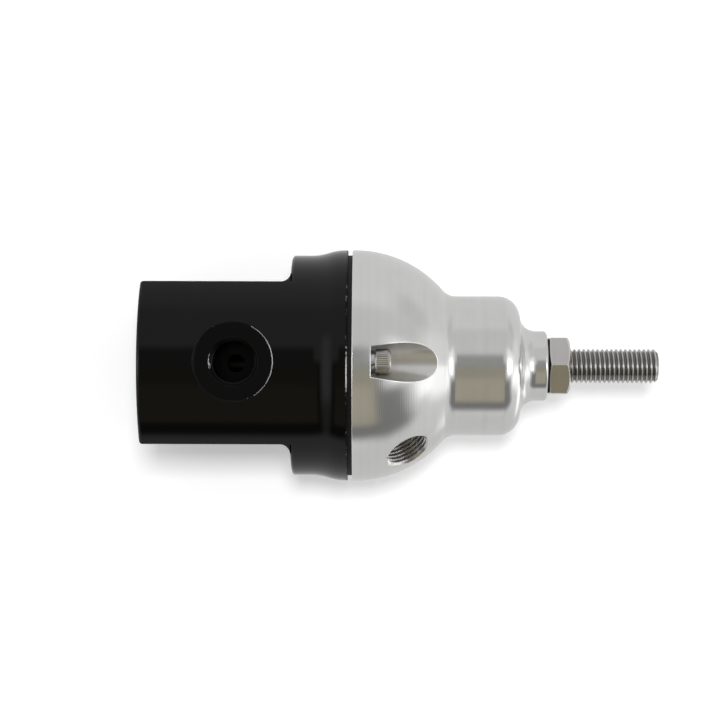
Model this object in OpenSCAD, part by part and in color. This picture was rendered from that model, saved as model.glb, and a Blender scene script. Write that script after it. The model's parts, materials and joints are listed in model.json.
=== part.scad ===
// Return-type fuel pressure regulator.
// A ported lower body and a domed spring bonnet clamp a diaphragm between their flanges.
// Fuel pressure lifts the diaphragm and its captive ball off the return seat against the main spring.
// The stud in the bonnet's tip sets the spring's load, and the jam nut locks it.
// The part stands on its return port face, with +Z along the stud. Millimetres.

/* [Lower body] */
// Diameter of the clamping flanges of body and bonnet
flange_d = 52.6; // [49:0.1:56]
// How far the flange stands out from the body below it
flange_step = 1.25; // [0.8:0.05:1.6]
// Height of the lower body up to its clamping face
body_h = 45.9; // [45:0.1:48]
// Distance across the two port flats
flat_across = 36; // [34.5:0.1:37.5]
// Height of the port flats up to their step
flat_h = 33.2; // [31.5:0.1:34]
// Fillet between a port flat and its step
flat_fillet = 2.1; // [1:0.1:2.6]
// Rounding of the body's outer edges
edge_r = 0.8; // [0.3:0.1:1.2]
// Radius of the two arcs of the flare under the flange
flare_r = 12.5; // [9:0.5:14]
// Straight height of the flange above the flare
flange_rim_h = 0.6; // [0.4:0.1:1.2]
// Rounding of the flange's rim
rim_r = 0.35; // [0.1:0.05:0.4]

/* [Fuel ports] */
// Radius of the straight-thread fuel ports
fuel_port_r = 6.5; // [6.1:0.05:6.9]
// Radius of a fuel port's mouth, where its O-ring seats
fuel_mouth_r = 7.9; // [7.3:0.1:8.6]
// Depth of the cone at a fuel port's mouth
fuel_mouth_h = 2.4; // [1.6:0.1:3]
// Depth of a fuel port
fuel_port_depth = 9.8; // [8.5:0.1:10.2]
// Height of the side ports' axes
port_z = 21; // [20:0.1:22.5]
// Radius of the drilled way from a side port to the gallery
passage_r = 4.2; // [3:0.1:5]

/* [Pipe ports] */
// Radius of the pipe threads of the gauge and vacuum ports
pipe_r = 4.5; // [4.2:0.05:4.8]
// Width of the chamfer at the mouth of a pipe port
pipe_chamfer = 0.9; // [0.4:0.1:1.1]
// Depth of the gauge port from its spot face
gauge_depth = 11; // [9:0.5:12]
// Diameter of the gauge port's spot face
spot_d = 17.2; // [15:0.1:18]
// Depth of the spot face under the body's surface
spot_depth = 1.65; // [1.5:0.05:2.6]
// Radius of the drilled way behind a pipe port
pipe_passage_r = 2; // [1:0.1:2.5]
// Angle of the vacuum port around the axis, from the gauge port
vacuum_turn = 58; // [54:1:66]
// Tilt of the vacuum port above the flange
vacuum_tilt = 27.3; // [25:0.1:29]
// Depth of the vacuum port under the dome's surface
vacuum_depth = 6.3; // [5.4:0.1:6.5]

/* [Bonnet] */
// Straight height of the bonnet's rim under its dome
bonnet_rim_h = 0.7; // [0.5:0.1:1.5]
// Diameter of the neck
neck_d = 31.75; // [31:0.05:32.6]
// Straight height of the tip above the cove
tip_h = 2.38; // [1.4:0.01:3.4]
// Fillet between dome and neck
neck_fillet = 4; // [2:0.1:5]
// Radius of the rounded shoulder
shoulder_r = 4.8; // [4:0.1:5.4]
// Radius of the cove between shoulder and tip
cove_r = 3.9; // [3.2:0.1:4.4]
// Diameter of the tip
tip_d = 15.9; // [14.6:0.1:16.6]
// Height of the bonnet from its clamping face to its tip
bonnet_h = 44.25; // [43.6:0.05:46]
// Rounding of the tip's edge
tip_edge_r = 0.7; // [0.3:0.1:1]

/* [Spring chamber] */
// Room around the diaphragm's roll in the bonnet's relief
roll_room = 0.57; // [0.4:0.01:0.75]
// Height of the relief
relief_h = 3; // [2.4:0.1:3.2]
// Wall between the chamber's wide end and the screw pockets
chamber_wall = 2.45; // [2.2:0.05:3.4]
// Height of the chamber's wide end above the clamping face
chamber_h = 11.2; // [9:0.1:11.6]
// Room between the main spring and the guide bore
guide_room = 1.2; // [0.9:0.05:1.6]
// Height at which the guide bore starts
guide_start_h = 19.2; // [18.4:0.1:20]
// Length of the stud's thread in the tip
tip_thread_h = 8.65; // [7.9:0.05:10.2]

/* [Bonnet screws] */
// Number of bonnet screws
screw_count = 3; // [2:1:4]
// Distance of the screws from the flange's edge
bolt_inset = 3.1; // [2.9:0.1:3.4]
// Diameter of a screw's shank
screw_d = 3.5; // [3.1:0.1:3.6]
// Diameter of a screw's threaded end
screw_thread_d = 3; // [2.6:0.1:3]
// Length of a screw under its head
screw_len = 11.1; // [10.4:0.1:11.6]
// Diameter of a screw's head
head_d = 5.74; // [5.2:0.02:6]
// Height of a screw's head
head_h = 3.5; // [3:0.1:4]
// Width across the flats of a screw's hexagon socket
head_socket = 2.78; // [2.4:0.02:3.2]
// Depth of a screw's hexagon socket
head_socket_depth = 1.9; // [1.2:0.1:2.2]
// Radius of the counterbored screw pockets
pocket_r = 4.25; // [3.9:0.05:4.3]
// Height of a pocket's floor above the clamping face
pocket_floor_h = 4.15; // [3.8:0.05:4.5]
// Diameter of a split lock washer
lock_washer_d = 5.2; // [4.8:0.1:5.8]
// Thickness of a split lock washer
lock_washer_t = 0.95; // [0.7:0.05:1.1]
// Gap of a split lock washer
lock_washer_split = 0.5; // [0.3:0.1:0.8]

/* [Diaphragm] */
// Thickness of the diaphragm
diaphragm_t = 0.96; // [0.7:0.02:1.2]
// How far the diaphragm's edge sits back from the flanges
diaphragm_inset = 1.2; // [0.3:0.1:1.2]
// Flat of the diaphragm between its plates and its roll
roll_gap = 0.67; // [0.4:0.01:1]
// Radius of the roll's half round
roll_round = 1.5; // [1.2:0.05:1.6]
// Room around the diaphragm's roll in the pressure chamber
pressure_room = 0.87; // [0.6:0.01:1.2]
// Depth of the pressure chamber
pressure_depth = 5.4; // [4.6:0.1:6]

/* [Diaphragm stack] */
// Diameter of the plate under the diaphragm
plate_d = 26; // [24:0.1:26.6]
// Thickness of the plate under the diaphragm
plate_t = 1.3; // [1:0.1:1.5]
// How far the spring cup's edge sits inside the plate's edge
cup_step = 0.1; // [0:0.05:0.4]
// Thickness of the spring cup
cup_t = 1.4; // [1:0.1:1.8]
// Height of the spring cup's rim
cup_rim_h = 4; // [2.5:0.1:5]
// Diameter of the valve stem
stem_d = 5; // [4.6:0.1:5.4]
// Length of the stem beyond its nut
stem_end_len = 1; // [0.5:0.1:2]
// Diameter of the stem washer
stem_washer_d = 10; // [9:0.1:11]
// Thickness of the stem washer
stem_washer_t = 1; // [0.6:0.1:1.4]
// Width across the flats of the stem nut
stem_nut_af = 8; // [7.6:0.1:9]
// Height of the stem nut
stem_nut_h = 2.7; // [2.2:0.1:4]

/* [Valve] */
// Diameter of the valve ball
ball_d = 7.94; // [7.5:0.02:8.3]
// Wall of the stem's head around the ball
head_wall = 1.4; // [1:0.1:1.7]
// Distance that the stem's head reaches below the ball's middle
ball_grip = 1.2; // [0.8:0.1:1.4]
// Bore of the valve seat
seat_bore_d = 5; // [4.4:0.1:5.2]
// Width of the valve seat's 45 degree cone
seat_cone = 0.9; // [0.6:0.05:1.2]
// Floor of the stem's head over the ball
head_floor = 1.3; // [0.8:0.1:1.8]
// Diameter of the seat's standpipe
standpipe_d = 9; // [8.6:0.1:9.6]
// Diameter of the seat's flange
seat_flange_d = 12.4; // [12.2:0.1:13]
// Thickness of the seat's flange
seat_flange_t = 3; // [2.4:0.1:4]
// Diameter of the seat's shank in the body
seat_shank_d = 8; // [7.6:0.1:8.4]
// Thickness of the web between return port and gallery
web_t = 3; // [2.5:0.1:3.6]
// Diameter of the fuel gallery around the standpipe
gallery_d = 15; // [14.6:0.1:15.6]
// Thickness of the O-ring under the seat's flange
ring_t = 1.1; // [0.9:0.05:1.2]

/* [Main spring] */
// Wire of the main spring
wire_d = 2; // [1.6:0.05:2.2]
// Room between the main spring and the spring cup's rim
cup_room = 1.2; // [1:0.05:1.6]
// Turns of the main spring, closed ends included
spring_turns = 7; // [6:0.5:8]

/* [Adjuster] */
// Diameter of the adjusting stud
stud_d = 7.94; // [7.5:0.02:8.2]
// Length of the adjusting stud
stud_len = 38.5; // [37:0.1:40]
// Height of the stud above the bonnet's tip
stud_out = 25.4; // [24.4:0.1:26.4]
// Chamfer at the stud's ends
stud_chamfer = 0.8; // [0.4:0.1:1.2]
// Width across the flats of the stud's hexagon socket
stud_socket = 3.97; // [3:0.01:4.4]
// Depth of the stud's hexagon socket
stud_socket_depth = 5; // [3:0.1:7]
// Width across the flats of the jam nut
nut_af = 12.7; // [12:0.1:13.2]
// Height of the jam nut
nut_h = 4.76; // [4:0.02:6]
// Diameter of the sealing washer under the jam nut
seal_d = 12.4; // [11:0.1:12.6]
// Thickness of the sealing washer
seal_t = 0.4; // [0.3:0.05:0.8]
// Room between the upper spring seat and its guide bore
spring_seat_room = 0.7; // [0.3:0.05:0.9]
// Thickness of the upper spring seat
spring_seat_t = 3; // [2.6:0.1:4]
// Room between the main spring and the pilot that centres it
pilot_room = 0.4; // [0.2:0.05:0.8]
// Height of the pilot
pilot_h = 3; // [2:0.1:4]
// Diameter of the thrust ball between stud and spring seat
thrust_d = 5; // [4.4:0.1:5.4]
// Depth to which the thrust ball sits in the spring seat
thrust_seat_depth = 1.6; // [1.2:0.1:2]
// Depth of the cup in the stud's nose
nose_cup_depth = 0.8; // [0.5:0.1:1.1]

/* [Fits] */
// Radial clearance of close fits and threads
fit = 0.05; // [0.03:0.01:0.08]
// Clearance between the valve ball and its seat
seat_gap = 0.03; // [0.02:0.01:0.05]
// Free depth under a screw's end
tap_spare = 0.8; // [0.5:0.1:1]

/* [Hidden] */
$fn = 96;

// Overlap that lets a cutting tool pass a face
cut = 1;
hex_corner = 1 / cos(30);
nut_face_share = 0.97;
nut_chamfer_angle = 30;

flange_r = flange_d / 2;
body_r = flange_r - flange_step;
flat_x = flat_across / 2;
spot_y = body_r - spot_depth;
bolt_r = flange_r - bolt_inset;

// The flare is two equal arcs that meet half-way out
flare_angle = acos(1 - flange_step / (2 * flare_r));
flare_half_h = flare_r * sin(flare_angle);
flare_top_z = body_h - flange_rim_h;
flare_mid_z = flare_top_z - flare_half_h;
flare_low_z = flare_mid_z - flare_half_h;

bonnet_z = body_h + diaphragm_t;
dome_z = bonnet_z + bonnet_rim_h;
neck_r = neck_d / 2;
tip_r = tip_d / 2;
tip_z = bonnet_z + bonnet_h;

// Centre of the fillet that touches the dome and the neck
neck_fillet_x = neck_r + neck_fillet;
neck_fillet_reach = flange_r + neck_fillet;
neck_fillet_rise = sqrt(pow(neck_fillet_reach, 2) - pow(neck_fillet_x, 2));
neck_fillet_z = dome_z + neck_fillet_rise;
dome_share = flange_r / neck_fillet_reach;

// Centres of the shoulder's round and of the cove that touches it and the tip
shoulder_x = neck_r - shoulder_r;
cove_x = tip_r + cove_r;
shoulder_to_cove = shoulder_r + cove_r;
cove_rise = sqrt(pow(shoulder_to_cove, 2) - pow(cove_x - shoulder_x, 2));
cove_z = tip_z - tip_h;
neck_z = cove_z - cove_rise;
shoulder_share = shoulder_r / shoulder_to_cove;
meet_x = shoulder_x + (cove_x - shoulder_x) * shoulder_share;
meet_z = neck_z + cove_rise * shoulder_share;

pocket_floor_z = bonnet_z + pocket_floor_h;
head_z = pocket_floor_z + lock_washer_t;
shank_len = head_z - bonnet_z;
screw_tip_z = head_z - screw_len;
screw_angles = [for (i = [0 : screw_count - 1]) -90 + i * 360 / screw_count];
lock_washer_hole_r = screw_d / 2 + fit;

// The plates set the diaphragm's roll, and the roll sets the chambers over and under it
plate_r = plate_d / 2;
diaphragm_r = flange_r - diaphragm_inset;
roll_half_w = roll_round + diaphragm_t / 2;
roll_r = plate_r + roll_gap + roll_half_w;
relief_r = roll_r + roll_half_w + roll_room;
pressure_r = roll_r + roll_half_w + pressure_room;
chamber_r = bolt_r - pocket_r - chamber_wall;

// The cup sets the main spring, and the spring sets the pieces and bores around it
cup_r = plate_r - cup_step;
cup_rim_in_r = cup_r - cup_t;
spring_r = cup_rim_in_r - cup_room - wire_d / 2;
guide_r = spring_r + wire_d / 2 + guide_room;
spring_seat_r = guide_r - spring_seat_room;
pilot_r = spring_r - wire_d / 2 - pilot_room;

// Heights of the valve, from the plate down: the ball rests on a 45 degree cone
ball_r = ball_d / 2;
socket_r = ball_r + fit;
seat_bore_r = seat_bore_d / 2;
plate_z = body_h - plate_t;
ball_z = plate_z - head_floor - socket_r;
ball_rise = 2 * ball_r * sin(45) - seat_cone - seat_bore_r + seat_gap / sin(45);
seat_top_z = ball_z - ball_rise;
web_z = fuel_port_depth;
gallery_z = web_z + web_t;
pressure_z = body_h - pressure_depth;
stem_r = stem_d / 2;
stem_hole_r = stem_r + fit;
stem_head_r = ball_r + head_wall;
cup_top_z = bonnet_z + cup_t;
stem_washer_top_z = cup_top_z + stem_washer_t;
stem_nut_top_z = stem_washer_top_z + stem_nut_h;
stem_end_z = stem_nut_top_z + stem_end_len;

// Heights of the adjuster, from the stud's top down to the spring
stud_r = stud_d / 2;
stud_top_z = tip_z + stud_out;
nose_z = stud_top_z - stud_len;
thrust_r = thrust_d / 2;
thrust_z = nose_z - thrust_r + nose_cup_depth;
spring_seat_top_z = thrust_z - thrust_r + thrust_seat_depth;
spring_top_z = spring_seat_top_z - spring_seat_t;
spring_h = spring_top_z - cup_top_z;
seal_z = tip_z;
nut_z = tip_z + seal_t;

anodised_black = [0.07, 0.07, 0.065];
clear_anodised = [0.78, 0.78, 0.77];
stainless = [0.66, 0.65, 0.62];
bright_steel = [0.74, 0.74, 0.73];
zinc_plate = [0.7, 0.71, 0.72];
spring_wire = [0.42, 0.43, 0.45];
black_rubber = [0.04, 0.04, 0.04];

// Two-dimensional helpers. X is the radius and Y the height of a turned profile.

module band(r, low, high) {
    translate([0, low]) square([r, high - low]);
}

// What an arc of radius r takes off the outer corner at p: side is +1 for a top corner, -1 for a bottom one
module corner_cut(p, r, side) {
    centre = [p.x - r, p.y - side * r];
    difference() {
        translate([centre.x, side > 0 ? centre.y : centre.y - 2 * r]) square(2 * r);
        translate(centre) circle(r);
    }
}

// A concave corner: the outline, which holds the arc's centre, less the arc
module cove(outline, centre, r) {
    difference() {
        polygon(outline);
        translate(centre) circle(r);
    }
}

module around(angles, r) {
    for (a = angles) rotate(a) translate([r, 0, 0]) children();
}

// Prism with a hexagon of the given width across flats
module hexagon(af, h) {
    linear_extrude(h) circle(af / 2 * hex_corner, $fn = 6);
}

// Hexagon nut with both faces chamfered to a circle just inside its flats, and a plain bore
module chamfered_nut(af, h, bore_r) {
    corner_r = af / 2 * hex_corner;
    face_r = af / 2 * nut_face_share;
    rise = (corner_r - face_r) * tan(nut_chamfer_angle);
    difference() {
        intersection() {
            rotate(30) hexagon(af, h);
            rotate_extrude()
                polygon([
                    [0, 0], [face_r, 0], [corner_r, rise], [corner_r, h - rise], [face_r, h], [0, h]
                ]);
        }
        translate([0, 0, -cut]) cylinder(r = bore_r, h = h + 2 * cut);
    }
}

module flat_ring(r, hole_r, low, high) {
    rotate_extrude() translate([hole_r, low]) square([r - hole_r, high - low]);
}

// Straight-thread port, its mouth at z = 0 and its bore down -Z
module fuel_port() {
    rotate_extrude()
        polygon([
            [0, cut], [fuel_mouth_r, cut], [fuel_mouth_r, 0], [fuel_port_r, -fuel_mouth_h],
            [fuel_port_r, -fuel_port_depth], [0, -fuel_port_depth]
        ]);
}

// Pipe port, its chamfered mouth at z = 0 and its bore down -Z, with a drilled way on to way_depth
module pipe_port(depth, way_depth) {
    mouth_r = pipe_r + pipe_chamfer;
    rotate_extrude()
        polygon([
            [0, cut], [mouth_r + cut, cut], [pipe_r, -pipe_chamfer], [pipe_r, -depth],
            [pipe_passage_r, -depth], [pipe_passage_r, -way_depth], [0, -way_depth]
        ]);
}

// Lower body

module barrel_profile() {
    difference() {
        band(body_r, 0, flat_h + edge_r);
        corner_cut([body_r, 0], edge_r, -1);
    }
}

module flange_profile() {
    low_centre = [body_r + flare_r, flare_low_z];
    mid_r = (body_r + flange_r) / 2;
    difference() {
        union() {
            band(body_r, flat_h, flare_top_z);
            cove([[0, flare_low_z], low_centre, [mid_r, flare_mid_z], [0, flare_mid_z]],
                low_centre, flare_r);
            intersection() {
                translate([flange_r - flare_r, flare_top_z]) circle(flare_r);
                band(flange_r, flare_mid_z, flare_top_z);
            }
            band(flange_r, flare_top_z, body_h);
        }
        corner_cut([body_r, flat_h], edge_r, -1);
        corner_cut([flange_r, body_h], rim_r, 1);
    }
}

// One half of the outline that the flats leave, seen along Y
module flats_half() {
    fillet_x = flat_x + flat_fillet;
    fillet_z = flat_h - flat_fillet;
    difference() {
        band(flat_x, 0, flat_h + edge_r);
        corner_cut([flat_x, 0], edge_r, -1);
    }
    cove([[flat_x, fillet_z], [fillet_x, fillet_z], [fillet_x, flat_h], [flat_x, flat_h]],
        [fillet_x, fillet_z], flat_fillet);
}

module flats_block() {
    rotate([90, 0, 0])
        linear_extrude(flange_d, center = true) {
            flats_half();
            mirror([1, 0]) flats_half();
        }
}

// Return port, web, fuel gallery and pressure chamber on the axis
module body_bore() {
    web_hole_r = seat_shank_d / 2 + fit;
    gallery_r = gallery_d / 2;
    rotate_extrude()
        polygon([
            [0, -cut], [fuel_mouth_r, -cut], [fuel_mouth_r, 0], [fuel_port_r, fuel_mouth_h],
            [fuel_port_r, web_z], [web_hole_r, web_z], [web_hole_r, gallery_z],
            [gallery_r, gallery_z], [gallery_r, pressure_z], [pressure_r, pressure_z],
            [pressure_r, body_h + cut], [0, body_h + cut]
        ]);
}

module side_ports() {
    for (side = [0, 180])
        rotate(side) translate([flat_x, 0, port_z]) rotate([0, 90, 0]) {
            fuel_port();
            translate([0, 0, -flat_x]) cylinder(r = passage_r, h = flat_x);
        }
    translate([0, -spot_y, port_z]) rotate([90, 0, 0]) {
        pipe_port(gauge_depth, spot_y);
        cylinder(d = spot_d, h = body_r);
    }
}

module lower_body() {
    hole_depth = body_h - screw_tip_z + tap_spare;
    color(anodised_black)
        difference() {
            union() {
                intersection() {
                    rotate_extrude() barrel_profile();
                    flats_block();
                }
                rotate_extrude() flange_profile();
            }
            body_bore();
            side_ports();
            around(screw_angles, bolt_r)
                translate([0, 0, body_h - hole_depth])
                    cylinder(d = screw_thread_d + 2 * fit, h = hole_depth + cut);
        }
}

// Bonnet

module bonnet_profile() {
    fillet_centre = [neck_fillet_x, neck_fillet_z];
    dome_touch = [neck_fillet_x * dome_share, dome_z + neck_fillet_rise * dome_share];
    cove_centre = [cove_x, cove_z];
    difference() {
        union() {
            band(flange_r, bonnet_z, dome_z);
            intersection() {
                translate([0, dome_z]) circle(flange_r);
                band(flange_r, dome_z, dome_z + flange_r);
            }
            band(neck_r, dome_z, neck_z);
            cove([[0, dome_touch.y], dome_touch, fillet_centre, [0, neck_fillet_z]],
                fillet_centre, neck_fillet);
            translate([shoulder_x, neck_z]) circle(shoulder_r);
            band(shoulder_x, neck_z, meet_z);
            cove([[0, meet_z], [meet_x, meet_z], cove_centre, [0, cove_z]], cove_centre, cove_r);
            band(tip_r, cove_z, tip_z);
        }
        corner_cut([flange_r, bonnet_z], rim_r / 2, -1);
        corner_cut([tip_r, tip_z], tip_edge_r, 1);
    }
}

// Relief, spring chamber, guide bore and stud hole on the axis
module bonnet_bore() {
    stud_hole_r = stud_r + fit;
    guide_end_z = tip_z - tip_thread_h;
    rotate_extrude()
        polygon([
            [0, bonnet_z - cut], [relief_r, bonnet_z - cut], [relief_r, bonnet_z + relief_h],
            [chamber_r, bonnet_z + relief_h], [chamber_r, bonnet_z + chamber_h],
            [guide_r, bonnet_z + guide_start_h], [guide_r, guide_end_z],
            [stud_hole_r, guide_end_z], [stud_hole_r, tip_z + cut], [0, tip_z + cut]
        ]);
}

module vacuum_port() {
    mouth_reach = sqrt(pow(flange_r, 2) - pow(pipe_r + pipe_chamfer, 2));
    translate([0, 0, dome_z])
        rotate([0, -vacuum_tilt, vacuum_turn - 90])
            rotate([0, 90, 0])
                translate([0, 0, mouth_reach])
                    pipe_port(mouth_reach - flange_r + vacuum_depth, mouth_reach - guide_r);
}

module spring_bonnet() {
    color(clear_anodised)
        difference() {
            rotate_extrude() bonnet_profile();
            bonnet_bore();
            vacuum_port();
            around(screw_angles, bolt_r) {
                translate([0, 0, bonnet_z - cut])
                    cylinder(d = screw_d + 2 * fit, h = pocket_floor_h + 2 * cut);
                translate([0, 0, pocket_floor_z]) cylinder(r = pocket_r, h = flange_r);
            }
        }
}

// Fasteners of the bonnet

// Cap screw with its head's bearing face at z = 0; its thread starts below the bonnet
module cap_screw() {
    bevel = 0.3;
    head_r = head_d / 2;
    shank_r = screw_d / 2;
    thread_r = screw_thread_d / 2;
    difference() {
        rotate_extrude()
            polygon([
                [0, -screw_len], [thread_r - bevel, -screw_len], [thread_r, -screw_len + bevel],
                [thread_r, -shank_len], [shank_r, -shank_len], [shank_r, 0], [head_r, 0],
                [head_r, head_h - bevel], [head_r - bevel, head_h], [0, head_h]
            ]);
        translate([0, 0, head_h - head_socket_depth]) hexagon(head_socket, head_socket_depth + cut);
    }
}

module bonnet_screws() {
    color(bright_steel) around(screw_angles, bolt_r) translate([0, 0, head_z]) cap_screw();
}

module lock_washers() {
    split_turn = 20;
    color(zinc_plate)
        around(screw_angles, bolt_r)
            difference() {
                flat_ring(lock_washer_d / 2, lock_washer_hole_r, pocket_floor_z, head_z);
                rotate(split_turn)
                    translate([0, -lock_washer_split / 2, pocket_floor_z - cut])
                        cube([lock_washer_d, lock_washer_split, lock_washer_t + 2 * cut]);
            }
}

// Diaphragm and what it carries

module diaphragm() {
    mid_z = body_h + diaphragm_t / 2;
    half = diaphragm_t / 2;
    color(black_rubber)
        difference() {
            rotate_extrude() {
                translate([stem_hole_r, body_h])
                    square([roll_r - roll_round - stem_hole_r, diaphragm_t]);
                translate([roll_r + roll_round, body_h])
                    square([diaphragm_r - roll_r - roll_round, diaphragm_t]);
                translate([roll_r, mid_z])
                    difference() {
                        intersection() {
                            circle(roll_half_w);
                            translate([-roll_half_w, -half]) square(2 * roll_half_w);
                        }
                        circle(roll_round - half);
                        translate([-roll_round, -2 * half]) square([2 * roll_round, 2 * half]);
                    }
            }
            around(screw_angles, bolt_r)
                translate([0, 0, body_h - cut])
                    cylinder(d = screw_d + 2 * fit, h = diaphragm_t + 2 * cut);
        }
}

module lower_diaphragm_plate() {
    bevel = 0.4;
    color(stainless)
        rotate_extrude()
            polygon([
                [stem_hole_r, plate_z], [plate_r - bevel, plate_z], [plate_r, plate_z + bevel],
                [plate_r, body_h], [stem_hole_r, body_h]
            ]);
}

module spring_cup() {
    rim_z = cup_top_z + cup_rim_h;
    color(zinc_plate)
        rotate_extrude()
            difference() {
                polygon([
                    [stem_hole_r, bonnet_z], [cup_r, bonnet_z], [cup_r, rim_z], [cup_rim_in_r, rim_z],
                    [cup_rim_in_r, cup_top_z], [stem_hole_r, cup_top_z]
                ]);
                corner_cut([cup_r, bonnet_z], cup_t / 2, -1);
            }
}

// Stem with a turned-over socket that keeps the ball captive
module valve_stem() {
    bevel = 0.4;
    lip_z = ball_z - ball_grip;
    color(stainless)
        rotate_extrude()
            difference() {
                polygon([
                    [0, lip_z], [stem_head_r, lip_z], [stem_head_r, plate_z], [stem_r, plate_z],
                    [stem_r, stem_end_z - bevel], [stem_r - bevel, stem_end_z], [0, stem_end_z]
                ]);
                translate([0, ball_z]) circle(socket_r);
            }
}

module stem_washer() {
    color(zinc_plate) flat_ring(stem_washer_d / 2, stem_hole_r, cup_top_z, stem_washer_top_z);
}

module stem_nut() {
    color(zinc_plate)
        translate([0, 0, stem_washer_top_z]) chamfered_nut(stem_nut_af, stem_nut_h, stem_hole_r);
}

module valve_ball() {
    color(bright_steel) translate([0, 0, ball_z]) sphere(ball_r);
}

module valve_seat() {
    tube_r = standpipe_d / 2;
    flange_edge_r = seat_flange_d / 2;
    flange_top_z = gallery_z + seat_flange_t;
    shank_r = seat_shank_d / 2;
    groove_out = shank_r + ring_t + 2 * fit;
    color(stainless)
        rotate_extrude()
            difference() {
                polygon([
                    [seat_bore_r, web_z], [shank_r, web_z], [shank_r, gallery_z],
                    [flange_edge_r, gallery_z], [flange_edge_r, flange_top_z], [tube_r, flange_top_z],
                    [tube_r, seat_top_z],
                    [seat_bore_r + seat_cone, seat_top_z], [seat_bore_r, seat_top_z - seat_cone]
                ]);
                translate([shank_r, gallery_z - cut]) square([groove_out - shank_r, ring_t + cut]);
            }
}

// Ring squeezed between the seat's groove and the web
module seat_o_ring() {
    ring_r = ring_t / 2 - fit / 2;
    ring_mid_r = seat_shank_d / 2 + fit + ring_t / 2;
    color(black_rubber)
        rotate_extrude() translate([ring_mid_r, gallery_z + ring_t / 2]) circle(ring_r);
}

// Main spring: closed end turns, ground flat where they bear

coil_steps = 24;
wire_sides = 10;
closed_pitch_share = 1.05;
ground_share = 0.3;
end_pitch = closed_pitch_share * wire_d;
end_inset = ground_share * wire_d;
coil_low_z = cup_top_z + end_inset;
coil_high_z = spring_top_z - end_inset;
open_pitch = (coil_high_z - coil_low_z - 2 * end_pitch) / (spring_turns - 2);

function coil_z(turn) =
    turn < 1 ? coil_low_z + end_pitch * turn
    : turn > spring_turns - 1 ? coil_high_z - end_pitch * (spring_turns - turn)
    : coil_low_z + end_pitch + open_pitch * (turn - 1);

function wire_point(turn, side) =
    let (around_wire = 360 * side / wire_sides, r = spring_r + wire_d / 2 * cos(around_wire))
    [
        r * cos(360 * turn), r * sin(360 * turn),
        min(max(coil_z(turn) + wire_d / 2 * sin(around_wire), cup_top_z), spring_top_z)
    ];

module main_spring() {
    steps = round(spring_turns * coil_steps);
    points = [
        for (i = [0 : steps], side = [0 : wire_sides - 1]) wire_point(i * spring_turns / steps, side)
    ];
    walls = [
        for (i = [0 : steps - 1], side = [0 : wire_sides - 1])
            let (a = i * wire_sides + side, b = i * wire_sides + (side + 1) % wire_sides)
            [a, b, b + wire_sides, a + wire_sides]
    ];
    first_end = [for (side = [wire_sides - 1 : -1 : 0]) side];
    last_end = [for (side = [0 : wire_sides - 1]) steps * wire_sides + side];
    color(spring_wire) polyhedron(points, concat(walls, [first_end, last_end]), convexity = 10);
}

// Adjuster

module upper_spring_seat() {
    r = spring_seat_r;
    pilot_z = spring_top_z - pilot_h;
    bevel = 0.5;
    color(zinc_plate)
        rotate_extrude()
            difference() {
                polygon([
                    [0, pilot_z], [pilot_r - bevel, pilot_z], [pilot_r, pilot_z + bevel],
                    [pilot_r, spring_top_z], [r, spring_top_z], [r, spring_seat_top_z - bevel],
                    [r - bevel, spring_seat_top_z], [0, spring_seat_top_z]
                ]);
                translate([0, thrust_z]) circle(thrust_r + fit);
            }
}

module thrust_ball() {
    color(bright_steel) translate([0, 0, thrust_z]) sphere(thrust_r);
}

module adjusting_screw() {
    end_r = stud_r - stud_chamfer;
    color(stainless)
        difference() {
            rotate_extrude()
                difference() {
                    polygon([
                        [0, nose_z], [end_r, nose_z], [stud_r, nose_z + stud_chamfer],
                        [stud_r, stud_top_z - stud_chamfer], [end_r, stud_top_z], [0, stud_top_z]
                    ]);
                    translate([0, thrust_z]) circle(thrust_r + fit);
                }
            translate([0, 0, stud_top_z - stud_socket_depth]) hexagon(stud_socket, stud_socket_depth + cut);
        }
}

module jam_nut() {
    color(stainless) translate([0, 0, nut_z]) chamfered_nut(nut_af, nut_h, stud_r + fit);
}

module seal_washer() {
    color(black_rubber) flat_ring(seal_d / 2, stud_r + fit, seal_z, nut_z);
}

lower_body();
spring_bonnet();
bonnet_screws();
lock_washers();
diaphragm();
lower_diaphragm_plate();
spring_cup();
valve_stem();
stem_washer();
stem_nut();
valve_ball();
valve_seat();
seat_o_ring();
main_spring();
upper_spring_seat();
thrust_ball();
adjusting_screw();
jam_nut();
seal_washer();
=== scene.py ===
"""Fuel pressure regulator: turned shells, threads, fasteners, finishes and studio around the packed part."""

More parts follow.
